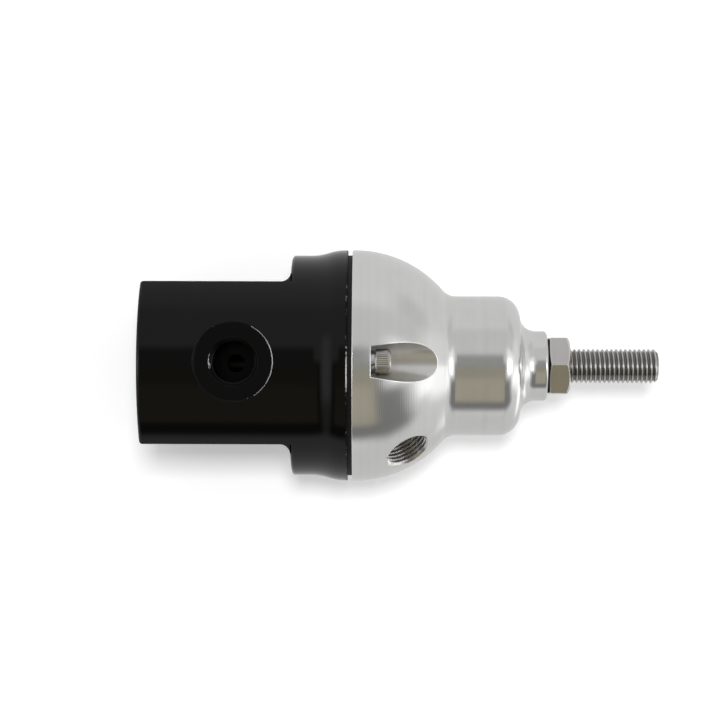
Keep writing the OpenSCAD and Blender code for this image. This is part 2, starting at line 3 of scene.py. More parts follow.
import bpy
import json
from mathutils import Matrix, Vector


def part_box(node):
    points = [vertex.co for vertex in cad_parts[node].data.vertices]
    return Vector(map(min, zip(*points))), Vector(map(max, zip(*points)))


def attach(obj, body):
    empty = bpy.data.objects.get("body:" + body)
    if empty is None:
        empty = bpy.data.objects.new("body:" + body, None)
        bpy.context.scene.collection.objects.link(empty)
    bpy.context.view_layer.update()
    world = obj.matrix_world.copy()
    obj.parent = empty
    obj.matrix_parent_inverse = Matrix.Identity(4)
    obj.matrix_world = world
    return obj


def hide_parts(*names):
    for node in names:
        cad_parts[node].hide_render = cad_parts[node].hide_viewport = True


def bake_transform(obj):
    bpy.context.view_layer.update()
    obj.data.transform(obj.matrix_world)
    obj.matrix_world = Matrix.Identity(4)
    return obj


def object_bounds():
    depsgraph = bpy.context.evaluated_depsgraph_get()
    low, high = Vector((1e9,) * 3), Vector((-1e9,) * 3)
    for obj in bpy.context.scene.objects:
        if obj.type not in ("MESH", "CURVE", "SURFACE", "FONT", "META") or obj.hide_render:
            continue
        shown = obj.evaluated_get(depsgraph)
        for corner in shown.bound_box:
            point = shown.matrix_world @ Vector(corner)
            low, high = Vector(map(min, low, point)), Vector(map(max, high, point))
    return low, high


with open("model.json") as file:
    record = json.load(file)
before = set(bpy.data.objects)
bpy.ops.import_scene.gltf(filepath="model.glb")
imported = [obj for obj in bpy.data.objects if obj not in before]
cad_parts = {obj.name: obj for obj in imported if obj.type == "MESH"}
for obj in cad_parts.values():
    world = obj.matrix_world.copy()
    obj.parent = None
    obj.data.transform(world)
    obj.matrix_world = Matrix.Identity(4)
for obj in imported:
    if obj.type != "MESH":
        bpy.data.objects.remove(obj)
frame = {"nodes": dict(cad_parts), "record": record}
CAD_BOX = [list(corner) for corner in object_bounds()]

import json
import math

import bmesh
import bpy
from bpy.props import FloatProperty, FloatVectorProperty, IntProperty, PointerProperty
from mathutils import Matrix, Vector

bl_info = {
    "name": "Fuel Pressure Regulator",
    "version": (1, 0, 0),
    "blender": (4, 5, 0),
    "location": "3D View > Sidebar > Regulator",
    "description": "Builds the shells, threads, fasteners, finishes and studio of a fuel pressure regulator",
    "category": "Object",
}

MM = 0.001

# Fineness of the meshes, and the angles above which an edge stays crisp
SHELL_FACETS = 288
BORE_FACETS = 120
FASTENER_FACETS = 168
THREAD_FACETS = 72
WIRE_FACETS = 20
ROLLED_STEPS = 12
ARC_STEP_DEG = 4
SMOOTH_ANGLE = math.radians(28)
ROLLED_SMOOTH_ANGLE = math.radians(44)

# How far a cutting tool reaches past a surface, and two small distances from a surface, for picking faces
OVERLAP = 1 * MM
SKIN = 0.001 * MM
NEAR = 0.01 * MM
# Share of a face's normal towards an axis above which the face leans inwards
INWARD_LEAN = 0.3
# Depth in mouth radii down to which faces belong to the vacuum port
PORT_REACH = 4
# Least height of the spot face's wall, as a share of its chamfer
LEAST_SPOT_WALL = 0.1

# From one crest of a thread to the next: share of the pitch and share of the height
CUT_FORM = ((0.0, 0.9), (0.06, 1.0), (0.12, 0.9), (0.42, 0.06), (0.545, 0.0), (0.67, 0.06))
ROLLED_FORM = tuple(
    ((i + 0.5) / ROLLED_STEPS, 0.5 + 0.5 * math.cos(math.tau * (i + 0.5) / ROLLED_STEPS))
    for i in range(ROLLED_STEPS)
)

# Widths of the chamfers round the hexagon sockets, as shares of the width across the flats
KEY_LEAD = 1.2
STUD_KEY_LEAD = 1.16
# Lean of a washer's split, as a share of the washer's thickness
WASHER_SLANT = 0.25
# Share of the wire's thickness from its middle to a ground end, and a closed end's pitch in wire radii
GROUND_SHARE = 0.3
CLOSED_PITCH = 2.1

# Lathe marks: spacing, depth, and the tool's feed for each turn of the work
MARK_SPACING = 0.22 * MM
MARK_DEPTH = 0.02 * MM
FEED = 0.55 * MM
# Width of a finely broken edge
FINE_EDGE = 0.12 * MM
# Radii between which the stud's thread goes from dim to clear: a painted shade that darkens the thread from
# its crest to its root
STUD_ROOT_SHADE = (3.4 * MM, 3.88 * MM)

# Slants to the view, from 0 straight on to 1 edge on, between which a sheet of paper clears
FLOOR_SLANTS = (0.8, 0.87)
BACKDROP_SLANTS = (0.04, 0.075)
SHEET_SIZE = 6.0
BACKDROP_GAP = 0.1 * MM
SENSOR_WIDTH = 36
CLIP_START = 0.01
CLIP_END = 20

RECORD = frame["record"]
BODY_OF = {node: body for body, nodes in RECORD["behaviour"]["bodies"].items() for node in nodes}
SLOT_OF = {part["node"]: part["material_slot"] for part in RECORD["subparts"]}
MOUNTS = {mount["name"]: mount for mount in RECORD["mounts"]}
GAUGE_HEIGHT = MOUNTS["gauge_port"]["pos_m"][2]
PIPE_RADIUS = MOUNTS["gauge_port"]["dims"]["r_mm"] * MM
FUEL_RADIUS = MOUNTS["return_port"]["dims"]["r_mm"] * MM
LOW = {node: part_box(node)[0] for node in BODY_OF}
HIGH = {node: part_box(node)[1] for node in BODY_OF}


# Settings


def length(name, description, default):
    return FloatProperty(name=name, description=description, default=default, unit="LENGTH", precision=5)


def angle(name, description, default):
    return FloatProperty(name=name, description=description, default=math.radians(default), subtype="ANGLE")


def number(name, description, default):
    return FloatProperty(name=name, description=description, default=default)


def whole_number(name, description, default):
    return IntProperty(name=name, description=description, default=default, min=1)


def colour(name, description, default):
    return FloatVectorProperty(name=name, description=description, default=default, subtype="COLOR", size=3)


def share(name, description, default):
    return FloatProperty(name=name, description=description, default=default, subtype="FACTOR", min=0, max=1)


class BodySizes(bpy.types.PropertyGroup):
    """Sizes of the ported lower body"""

    flange_radius: length("Flange radius", "Radius of the clamping flanges", HIGH["lower_body"].x)
    height: length("Height", "Height up to the clamping face", HIGH["lower_body"].z)
    flange_step: length("Flange step", "How far the flange stands out from the body", 1.25 * MM)
    flat_distance: length("Flat distance", "Distance of a port flat from the axis", 18 * MM)
    flat_height: length("Flat height", "Height of the port flats up to their step", 33.2 * MM)
    flat_fillet: length("Flat fillet", "Fillet between a port flat and its step", 2.1 * MM)
    edge_radius: length("Edge radius", "Rounding of the outer edges", 0.8 * MM)
    flare_radius: length("Flare radius", "Radius of the two arcs under the flange", 12.5 * MM)
    rim_height: length("Rim height", "Straight height of the flange above the flare", 0.6 * MM)
    rim_radius: length("Rim radius", "Rounding of the flange's rim", 0.35 * MM)
    fuel_mouth_radius: length("Fuel mouth radius", "Radius of a fuel port's mouth", 7.9 * MM)
    fuel_mouth_depth: length("Fuel mouth depth", "Depth of the cone at a fuel port's mouth", 2.4 * MM)
    fuel_depth: length("Fuel port depth", "Depth of a fuel port", 9.8 * MM)
    fuel_thread_depth: length("Fuel thread height", "Height of a fuel port's thread form", 0.62 * MM)
    fuel_pitch: length("Fuel pitch", "Pitch of a fuel port's thread", 1.411 * MM)
    passage_radius: length("Passage radius", "Radius of the way from a fuel port to the gallery", 4.2 * MM)
    spot_radius: length("Spot radius", "Radius of the gauge port's spot face", 8.6 * MM)
    spot_chamfer: length("Spot chamfer", "Broken edge of the spot face", 0.2 * MM)
    spot_depth: length("Spot depth", "Depth of the spot face under the body's surface", 1.65 * MM)
    gauge_depth: length("Gauge depth", "Depth of the gauge port from its spot face", 11 * MM)
    pressure_radius: length("Pressure radius", "Radius of the chamber under the diaphragm", 18.5 * MM)
    pressure_depth: length("Pressure depth", "Depth of the chamber under the diaphragm", 5.4 * MM)
    gallery_radius: length("Gallery radius", "Radius of the fuel gallery", 7.5 * MM)
    web: length("Web", "Thickness of the web between return port and gallery", 3 * MM)
    web_hole_radius: length("Web hole radius", "Radius of the seat's hole in the web", 4.05 * MM)
    tap_radius: length("Tap radius", "Radius of a bonnet screw's hole", 1.55 * MM)
    tap_room: length("Tap room", "Depth of a screw's hole past the screw's tip", 0.8 * MM)


class PipeSizes(bpy.types.PropertyGroup):
    """Sizes that the gauge and vacuum ports share"""

    chamfer: length("Mouth chamfer", "Width of the chamfer at a pipe port's mouth", 0.9 * MM)
    worn_chamfer: length("Vacuum chamfer", "Chamfer that the vacuum port's thread leaves", 0.55 * MM)
    vacuum_taper: length("Vacuum taper", "Widening of the vacuum port's thread at its mouth", 0.15 * MM)
    thread_height: length("Thread height", "Height of a pipe thread's form", 0.6 * MM)
    pitch: length("Pitch", "Pitch of a pipe thread", 0.941 * MM)
    passage_radius: length("Passage radius", "Radius of the drilled way behind a pipe port", 2 * MM)


class BonnetSizes(bpy.types.PropertyGroup):
    """Sizes of the domed spring bonnet"""

    rim_height: length("Rim height", "Straight height under the dome", 0.7 * MM)
    neck_radius: length("Neck radius", "Radius of the neck", 15.875 * MM)
    neck_fillet: length("Neck fillet", "Fillet between dome and neck", 4 * MM)
    shoulder_radius: length("Shoulder radius", "Radius of the rounded shoulder", 4.8 * MM)
    cove_radius: length("Cove radius", "Radius of the cove between shoulder and tip", 3.9 * MM)
    tip_radius: length("Tip radius", "Radius of the tip", 7.95 * MM)
    tip_height: length("Tip height", "Straight height of the tip above the cove", 2.38 * MM)
    tip_edge: length("Tip edge", "Rounding of the tip's edge", 0.7 * MM)
    relief_radius: length("Relief radius", "Radius of the relief over the diaphragm's roll", 18.2 * MM)
    relief_height: length("Relief height", "Height of the relief", 3 * MM)
    chamber_radius: length("Chamber radius", "Radius of the chamber's wide end", 16.5 * MM)
    chamber_height: length("Chamber height", "Height of the chamber's wide end", 11.2 * MM)
    guide_radius: length("Guide radius", "Radius of the spring seat's guide bore", 11.5 * MM)
    guide_start: length("Guide start", "Height at which the guide bore starts", 19.2 * MM)
    tip_thread: length("Tip thread", "Length of the stud's thread in the tip", 8.65 * MM)
    stud_hole_radius: length("Stud hole radius", "Radius of the hole for the stud", 4.02 * MM)
    bolt_inset: length("Bolt inset", "Distance of the screws from the flange's edge", 3.1 * MM)
    screw_hole_radius: length("Screw hole radius", "Radius of a screw's clearance hole", 1.8 * MM)
    pocket_radius: length("Pocket radius", "Radius of a screw's pocket", 4.25 * MM)
    pocket_floor: length("Pocket floor", "Height of a pocket's floor above the clamping face", 4.15 * MM)
    vacuum_depth: length("Vacuum depth", "Depth of the vacuum port under the dome", 6.3 * MM)


class FastenerSizes(bpy.types.PropertyGroup):
    """Sizes of the cap screws, their washers, the stud and its nut"""

    screw_count: whole_number("Screws", "Number of bonnet screws", 3)
    head_radius: length("Head radius", "Radius of a screw's head", 2.87 * MM)
    head_height: length("Head height", "Height of a screw's head", 3.5 * MM)
    head_edge: length("Head edge", "Chamfer of a screw's head", 0.34 * MM)
    knurls: whole_number("Knurls", "Grooves round a screw's head", 42)
    knurl_depth: length("Knurl depth", "Depth of a groove", 0.13 * MM)
    key_width: length("Key width", "Width across the flats of a screw's hexagon socket", 2.78 * MM)
    key_depth: length("Key depth", "Depth of a screw's hexagon socket", 1.9 * MM)
    key_lead_depth: length("Key lead depth", "Depth of the chamfer round a screw's socket", 0.12 * MM)
    shank_radius: length("Shank radius", "Radius of a screw's shank", 1.75 * MM)
    thread_radius: length("Thread radius", "Radius of a screw's threaded end", 1.5 * MM)
    tip_chamfer: length("Tip chamfer", "Chamfer at a screw's tip", 0.3 * MM)
    washer_radius: length("Washer radius", "Radius of a split lock washer", 2.6 * MM)
    washer_height: length("Washer height", "Thickness of a split lock washer", 0.95 * MM)
    washer_split: length("Washer split", "Gap of a split lock washer", 0.5 * MM)
    washer_room: length("Washer room", "Gap between a lock washer and the shank", 0.05 * MM)
    washer_bevel: length("Washer bevel", "Broken edge of a lock washer", 0.1 * MM)
    washer_turn: angle("Washer turn", "Turn of a lock washer's split round its screw", -70)
    stud_radius: length("Stud radius", "Radius over the stud's thread", 3.95 * MM)
    stud_thread: length("Stud thread", "Height of the stud's thread form", 0.62 * MM)
    stud_pitch: length("Stud pitch", "Pitch of the stud's thread", 1.0583 * MM)
    stud_chamfer: length("Stud chamfer", "Chamfer at the stud's ends", 0.8 * MM)
    stud_key: length("Stud key", "Width across the flats of the stud's hexagon socket", 3.97 * MM)
    stud_key_depth: length("Stud key depth", "Depth of the stud's hexagon socket", 5 * MM)
    stud_lead_depth: length("Stud lead depth", "Depth of the chamfer round the stud's socket", 0.3 * MM)
    nose_ball_radius: length("Nose ball radius", "Radius of the cup in the stud's nose", 2.55 * MM)
    nose_cup: length("Nose cup", "Depth of the cup in the stud's nose", 0.85 * MM)
    nut_width: length("Nut width", "Width across the flats of the jam nut", 12.7 * MM)
    nut_face: share("Nut face", "Share of the jam nut's width that its end faces keep", 0.94)
    nut_slope: angle("Nut slope", "Slope of the chamfer on the jam nut's outer end", 30)
    nut_seat_slope: angle("Nut seat slope", "Slope of the chamfer on the jam nut's seat", 13)
    nut_bore: length("Nut bore", "Radius of the jam nut's bore", 4.02 * MM)
    nut_countersink: length("Nut countersink", "Width of the chamfer at the jam nut's bore", 0.5 * MM)
    wire_radius: length("Wire radius", "Radius of the main spring's wire", 1 * MM)
    spring_radius: length("Spring radius", "Mean radius of the main spring", 9.3 * MM)
    spring_turns: number("Spring turns", "Turns of the main spring", 7)
    spring_split: number("Spring split", "Turns that follow the spring cup", 1.6)


class DiaphragmSizes(bpy.types.PropertyGroup):
    """Sizes of the rolled diaphragm"""

    thickness: length("Thickness", "Thickness of the rubber", 0.96 * MM)
    stem_hole: length("Stem hole", "Radius of the hole for the valve stem", 2.55 * MM)
    roll_radius: length("Roll radius", "Radius of the roll's middle from the axis", 15.65 * MM)
    roll_curve: length("Roll curve", "Radius of the roll's own arch", 1.5 * MM)
    crest_gap: length("Crest gap", "Half of the parting line between the two halves", 0.01 * MM)


class Finishes(bpy.types.PropertyGroup):
    """Colours of the finishes"""

    black_anodise: colour("Black anodise", "Dyed anodised body", (0.0007, 0.0007, 0.0006))
    # Painted highlight on the dyed body's broken edges
    black_edge_highlight: colour("Black edge", "Broken edges of the dyed body", (0.008, 0.008, 0.008))
    # Metal of the worn chips, which are also placed as painted glints and a painted highlight on the dyed
    # body's rims
    bare_chip_and_glint: colour("Bare chip", "Bare metal in the worn edges of the dyed body", (0.91, 0.91, 0.897))
    clear_anodise: colour("Clear anodise", "Turned aluminium bonnet", (0.70, 0.70, 0.69))
    # Painted highlight, white, on the bonnet's broken edges and pocket rims
    bonnet_edge_highlight: colour("Bonnet edge", "Broken edges of the bonnet", (1.0, 1.0, 1.0))
    # Painted shade: the vacuum port's thread is darker than the bonnet, for the shade inside the port
    port_thread: colour("Port thread", "Tapped thread in the bonnet", (0.62, 0.61, 0.59))
    milled_pocket: colour("Milled pocket", "Screw pockets in the bonnet", (0.72, 0.71, 0.69))
    stainless: colour("Stainless", "Jam nut", (0.57, 0.56, 0.55))
    # Painted highlight on the jam nut's broken edges
    nut_edge_highlight: colour("Nut edge", "Broken edges of the jam nut", (0.912, 0.896, 0.88))
    # Painted shade: the valve parts that show through the ports are painted near black
    wet_stainless: colour("Wet stainless", "Valve parts, wet with fuel", (0.0228, 0.0224, 0.022))
    rolled_thread: colour("Rolled thread", "Thread of the stud", (0.54, 0.53, 0.51))
    screw_steel: colour("Screw steel", "Bonnet screws", (0.48, 0.47, 0.45))
    zinc: colour("Zinc plate", "Washers, cup and spring seat", (0.60, 0.61, 0.62))
    bearing_steel: colour("Bearing steel", "Valve and thrust balls", (0.68, 0.68, 0.68))
    spring_wire: colour("Spring wire", "Oil-tempered wire", (0.20, 0.20, 0.21))
    rubber: colour("Rubber", "Diaphragm and seals", (0.006, 0.006, 0.006))


class StudioSettings(bpy.types.PropertyGroup):
    """Camera, lamps and surroundings"""

    lens: number("Lens", "Focal length in millimetres", 105)
    distance: length("Distance", "Camera's distance from the axis", 0.4805)
    aim_height: length("Aim height", "Height of the camera's line of sight", 51.75 * MM)
    aim_side: length("Aim side", "Side shift of the camera's line of sight", -1.24 * MM)
    frame_shift: number("Frame shift", "Shift of the frame along the axis, in frame widths", -0.0194)
    turn: angle("Turn", "Turn of the camera round the part's axis", 1.9)
    roll: angle("Roll", "Roll of the camera from the part's axis", -0.18)
    card: colour("Card", "Room seen through the front of the light tent", (0.36, 0.325, 0.235))
    tent: share("Tent", "Brightness of the light tent in reflections", 0.74)
    dim: share("Dim", "Brightness of the tent beside the camera", 0.63)
    dark: share("Dark", "Brightness of the tent's front edge", 0.11)
    ambient: share("Ambient", "Brightness of the light tent on matt surfaces", 0.45)
    floor_glow: share("Floor glow", "Light of the floor's paper by itself", 0.37)
    backdrop_glow: share("Backdrop glow", "Light of the backdrop's paper by itself", 0.27)


GROUPS = {
    "regulator_body": BodySizes,
    "regulator_pipe": PipeSizes,
    "regulator_bonnet": BonnetSizes,
    "regulator_fasteners": FastenerSizes,
    "regulator_diaphragm": DiaphragmSizes,
    "regulator_finishes": Finishes,
    "regulator_studio": StudioSettings,
}


# Shapes


def arc(centre, radius, start, end):
    """Points of an arc in a turned profile, with angles in degrees from the radius axis"""
    steps = max(2, math.ceil(abs(end - start) / ARC_STEP_DEG))
    angles = [math.radians(start + (end - start) * i / steps) for i in range(steps + 1)]
    return [(centre[0] + radius * math.cos(a), centre[1] + radius * math.sin(a)) for a in angles]


def new_object(name, points, faces):
    """Object from points and faces, with its faces turned outwards"""
    mesh = bpy.data.meshes.new(name)
    mesh.from_pydata(points, [], faces)
    shape = bmesh.new()
    shape.from_mesh(mesh)
    bmesh.ops.recalc_face_normals(shape, faces=shape.faces)
    shape.to_mesh(mesh)
    shape.free()
    made = bpy.data.objects.new(name, mesh)
    bpy.context.scene.collection.objects.link(made)
    return made


def spun(name, rings, facets, closed=False):
    """Solid from rings round Z; a ring's radius and height are numbers or functions of the angle"""
    points = []
    starts = []
    for radius, height in rings:
        starts.append((len(points), radius == 0))
        if radius == 0:
            points.append((0, 0, height))
            continue
        for i in range(facets):
            a = math.tau * i / facets
            r = radius(a) if callable(radius) else radius
            z = height(a) if callable(height) else height
            points.append((r * math.cos(a), r * math.sin(a), z))
    pairs = list(zip(starts, starts[1:]))
    if closed:
        pairs.append((starts[-1], starts[0]))
    faces = []
    for (low, low_pole), (high, high_pole) in pairs:
        for i in range(facets):
            j = (i + 1) % facets
            corners = [low] if low_pole else [low + i, low + j]
            corners += [high] if high_pole else [high + j, high + i]
            faces.append(corners)
    return new_object(name, points, faces)


def prism(name, outline, low, high):
    """Solid with an outline in X and Z, from low to high along Y"""
    count = len(outline)
    points = [(x, low, z) for x, z in outline] + [(x, high, z) for x, z in outline]
    faces = [list(range(count)), list(range(count, 2 * count))]
    faces += [[i, (i + 1) % count, count + (i + 1) % count, count + i] for i in range(count)]
    return new_object(name, points, faces)


def rod(name, radius, low, high, facets=BORE_FACETS):
    """Plain round rod along Z"""
    return spun(name, [(0, low), (radius, low), (radius, high), (0, high)], facets)


def thread_rod(name, form, root, crest, pitch, low, high):
    """Rod with a right-hand thread of a form, which reaches past both heights"""
    turns_below = 2
    turns_above = 1
    per_turn = len(form)
    rows = per_turn * (math.ceil((high - low) / pitch) + turns_below + turns_above)
    points = []
    for column in range(THREAD_FACETS):
        a = math.tau * column / THREAD_FACETS
        for row in range(rows + 1):
            place, rise = form[row % per_turn]
            r = root + (crest - root) * rise
            z = low + pitch * (row // per_turn + place + column / THREAD_FACETS - turns_below)
            points.append((r * math.cos(a), r * math.sin(a), z))

    def point(row, column):
        if column == THREAD_FACETS:
            return row + per_turn
        return column * (rows + 1) + row

    last = THREAD_FACETS - 1
    faces = [
        [point(i, j), point(i, j + 1), point(i + 1, j + 1), point(i + 1, j)]
        for j in range(THREAD_FACETS)
        for i in range(rows - (per_turn if j == last else 0))
    ]
    foot = [point(0, j) for j in range(THREAD_FACETS)] + [point(i, 0) for i in range(per_turn, 0, -1)]
    top = [point(rows, j) for j in range(THREAD_FACETS)] + [
        point(i, last) for i in range(rows - 1, rows - per_turn - 1, -1)
    ]
    for loop in (foot, top):
        middle = len(points)
        points.append((0, 0, sum(points[i][2] for i in loop) / len(loop)))
        faces += [[loop[i], loop[(i + 1) % len(loop)], middle] for i in range(len(loop))]
    return new_object(name, points, faces)


def hexagon(width):
    """Radius of a hexagon with a corner on the X axis, as a function of the angle"""
    return lambda a: width / 2 / math.cos((a % (math.pi / 3)) - math.pi / 6)


def moved(piece, matrix):
    """Moves a piece's mesh"""
    piece.data.transform(matrix)
    return piece


def facing(place, direction):
    """Matrix that takes the origin to a place and +Z to a direction"""
    turn = Vector(direction).to_track_quat("Z", "Y").to_matrix().to_4x4()
    return Matrix.Translation(place) @ turn


def settle(piece):
    """Puts the piece's modifiers into its mesh"""
    graph = bpy.context.evaluated_depsgraph_get()
    mesh = bpy.data.meshes.new_from_object(piece.evaluated_get(graph))
    piece.modifiers.clear()
    piece.data = mesh


def combine(piece, tool, operation):
    """Unites, cuts or intersects a piece with a tool, which is used up"""
    step = piece.modifiers.new("shape", "BOOLEAN")
    step.solver = "MANIFOLD"
    step.operation = operation
    step.object = tool
    settle(piece)
    bpy.data.objects.remove(tool)
    if not piece.data.polygons:
        raise RuntimeError(f"{piece.name} was lost in a {operation.lower()}")
    return piece


def cut(piece, *tools):
    """Cuts a piece with tools, which are used up"""
    for tool in tools:
        combine(piece, tool, "DIFFERENCE")
    return piece


def smooth(piece, edge):
    """Smooth shading with crisp edges above an angle and normals that follow the larger faces"""
    piece.data.shade_smooth()
    piece.data.set_sharp_from_angle(angle=edge)
    step = piece.modifiers.new("normals", "WEIGHTED_NORMAL")
    step.keep_sharp = True
    settle(piece)
    return piece


def dress(piece, material, node, edge=SMOOTH_ANGLE):
    """Gives a piece its finish and the node that it stands for"""
    smooth(piece, edge)
    piece.data.materials.clear()
    piece.data.materials.append(material)
    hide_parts(node)
    return piece


def fit_out(piece, material, node, edge=SMOOTH_ANGLE):
    """Gives a piece its finish, the node that it stands for and that node's body"""
    dress(piece, material, node, edge)
    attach(piece, BODY_OF[node])
    return piece


def reface(piece, material, places, radii, heights, leaning=False):
    """Gives the faces of machined places, in rings round their axes, a finish of their own"""
    piece.data.materials.append(material)
    index = len(piece.data.materials) - 1
    backs = [place.inverted() for place in places]
    for face in piece.data.polygons:
        for back in backs:
            spot = back @ face.center
            reach = spot.xy.length
            inwards = (back.to_3x3() @ face.normal).xy.dot(spot.xy) < -INWARD_LEAN * reach
            inside = radii[0] < reach < radii[1] and heights[0] < spot.z < heights[1]
            if inside and (inwards or not leaning):
                face.material_index = index


def screw_places(settings):
    """Places of the screws' axes on their circle"""
    bolt = settings.regulator_body.flange_radius - settings.regulator_bonnet.bolt_inset
    count = settings.regulator_fasteners.screw_count
    turns = [math.radians(-90 + 360 * i / count) for i in range(count)]
    return [Matrix.Rotation(a, 4, "Z") @ Matrix.Translation((bolt, 0, 0)) for a in turns]


# Finishes


def plug(tree, node, inputs):
    """Sets or links a node's inputs"""
    for name, value in inputs.items():
        if isinstance(value, bpy.types.NodeSocket):
            tree.links.new(value, node.inputs[name])
        else:
            node.inputs[name].default_value = value
    return node


def add(tree, kind, inputs=None, **values):
    """New node with its values set and its inputs set or linked"""
    made = tree.nodes.new(kind)
    for name, value in values.items():
        setattr(made, name, value)
    return plug(tree, made, inputs or {})


def maths(tree, operation, first, second=0.0):
    """Result of an operation on one or two values"""
    return add(tree, "ShaderNodeMath", {0: first, 1: second}, operation=operation).outputs[0]


def ramp(tree, value, start, end, low=0.0, high=1.0, form="LINEAR"):
    """Value that goes from low to high while another goes from start to end"""
    inputs = {"Value": value, "From Min": start, "From Max": end, "To Min": low, "To Max": high}
    return add(tree, "ShaderNodeMapRange", inputs, interpolation_type=form).outputs[0]


def noise(tree, place, scale, detail, dimensions="3D"):
    """Noise between 0 and 1 at a place"""
    inputs = {"Vector": place, "Scale": scale, "Detail": detail}
    return add(tree, "ShaderNodeTexNoise", inputs, noise_dimensions=dimensions).outputs["Fac"]


def blend_colour(tree, share_of_second, first, second):
    """Blend of two colours, each of them a tint or an output"""
    inputs = {"Factor": share_of_second}
    for socket, side in ((6, first), (7, second)):
        inputs[socket] = side if isinstance(side, bpy.types.NodeSocket) else (*side, 1)
    return add(tree, "ShaderNodeMix", inputs, data_type="RGBA").outputs[2]


def scaled(tint, factor):
    """Tint made paler or deeper, up to white"""
    return tuple(min(1.0, part * factor) for part in tint)


def piece_place(tree):
    """Place on a piece, whole and in parts along its axes"""
    place = add(tree, "ShaderNodeTexCoord").outputs["Object"]
    return place, add(tree, "ShaderNodeSeparateXYZ", {0: place}).outputs


def axis_distance(tree, parts):
    """Distance of a place from the Z axis"""
    x, y = (maths(tree, "MULTIPLY", parts[axis], parts[axis]) for axis in "XY")
    return maths(tree, "SQRT", maths(tree, "ADD", x, y))


def new_group(name, inputs, outputs):
    """Shader node group with float inputs and outputs of given kinds, its inputs and its output node"""
    tree = bpy.data.node_groups.new(name, "ShaderNodeTree")
    for socket, default in inputs.items():
        made = tree.interface.new_socket(socket, in_out="INPUT", socket_type="NodeSocketFloat")
        made.default_value = default
    for socket, kind in outputs.items():
        tree.interface.new_socket(socket, in_out="OUTPUT", socket_type="NodeSocket" + kind)
    return tree, tree.nodes.new("NodeGroupInput").outputs, tree.nodes.new("NodeGroupOutput")


def turning_group(name):
    """Fine marks that a lathe tool leaves round the axis"""
    feed_share = 0.5
    band_scale = 0.11
    tree, given, out = new_group(name, {"Spacing": MARK_SPACING}, {"Height": "Float", "Band": "Float"})
    _, parts = piece_place(tree)
    radius = axis_distance(tree, parts)
    across = maths(tree, "DIVIDE", radius, given["Spacing"])
    along = maths(tree, "DIVIDE", parts["Z"], given["Spacing"])
    profile = add(tree, "ShaderNodeCombineXYZ", {"X": across, "Y": along}).outputs[0]
    fine = noise(tree, profile, 1.0, 1.0, "2D")
    broad = noise(tree, profile, band_scale, 2.0, "2D")
    path = maths(tree, "SUBTRACT", parts["Z"], radius)
    feed = maths(tree, "SINE", maths(tree, "MULTIPLY", path, math.tau / FEED))
    height = maths(tree, "ADD", fine, maths(tree, "MULTIPLY", feed, feed_share))
    plug(tree, out, {"Height": height, "Band": broad})
    return tree


def handling_group(name):
    """Soft patches and specks that a handled surface picks up"""
    smudge_span = (0.42, 0.7)
    inputs = {"Patch": 130.0, "Speck": 5200.0}
    tree, given, out = new_group(name, inputs, {"Smudge": "Float", "Grain": "Float"})
    place, _ = piece_place(tree)
    patches = noise(tree, place, given["Patch"], 4.0)
    grain = noise(tree, place, given["Speck"], 2.0)
    plug(tree, out, {"Smudge": ramp(tree, patches, *smudge_span), "Grain": grain})
    return tree


def edge_group(name):
    """Normals that run over a broken edge, and a mask of the edges"""
    turned_away = (0.998, 0.95)
    tree, given, out = new_group(name, {"Radius": FINE_EDGE}, {"Normal": "Vector", "Edge": "Float"})
    rounded = add(tree, "ShaderNodeBevel", {"Radius": given["Radius"]}, samples=6).outputs[0]
    plain = add(tree, "ShaderNodeNewGeometry").outputs["Normal"]
    dot = add(tree, "ShaderNodeVectorMath", {0: rounded, 1: plain}, operation="DOT_PRODUCT")
    plug(tree, out, {"Normal": rounded, "Edge": ramp(tree, dot.outputs["Value"], *turned_away)})
    return tree


def thread_shade_group(name):
    """Painted shade in a thread round Z: a level of colour that falls from its crest to its root"""
    root_level = 0.48
    tree, given, out = new_group(name, {"Root": 3 * MM, "Crest": 4 * MM}, {"Level": "Float"})
    _, parts = piece_place(tree)
    radius = axis_distance(tree, parts)
    plug(tree, out, {"Level": ramp(tree, radius, given["Root"], given["Crest"], root_level)})
    return tree


EFFECTS = {
    "Turning marks": turning_group,
    "Handling": handling_group,
    "Broken edges": edge_group,
    "Thread shade": thread_shade_group,
}


def effect(tree, name, **inputs):
    """Places a shared effect, which is built once, with its own values"""
    group = bpy.data.node_groups.get(name) or EFFECTS[name](name)
    return add(tree, "ShaderNodeGroup", inputs, node_tree=group).outputs


def new_material(name):
    """Material with its node tree and its shader"""
    material = bpy.data.materials.new(name)
    material.use_nodes = True
    return material, material.node_tree, material.node_tree.nodes["Principled BSDF"]


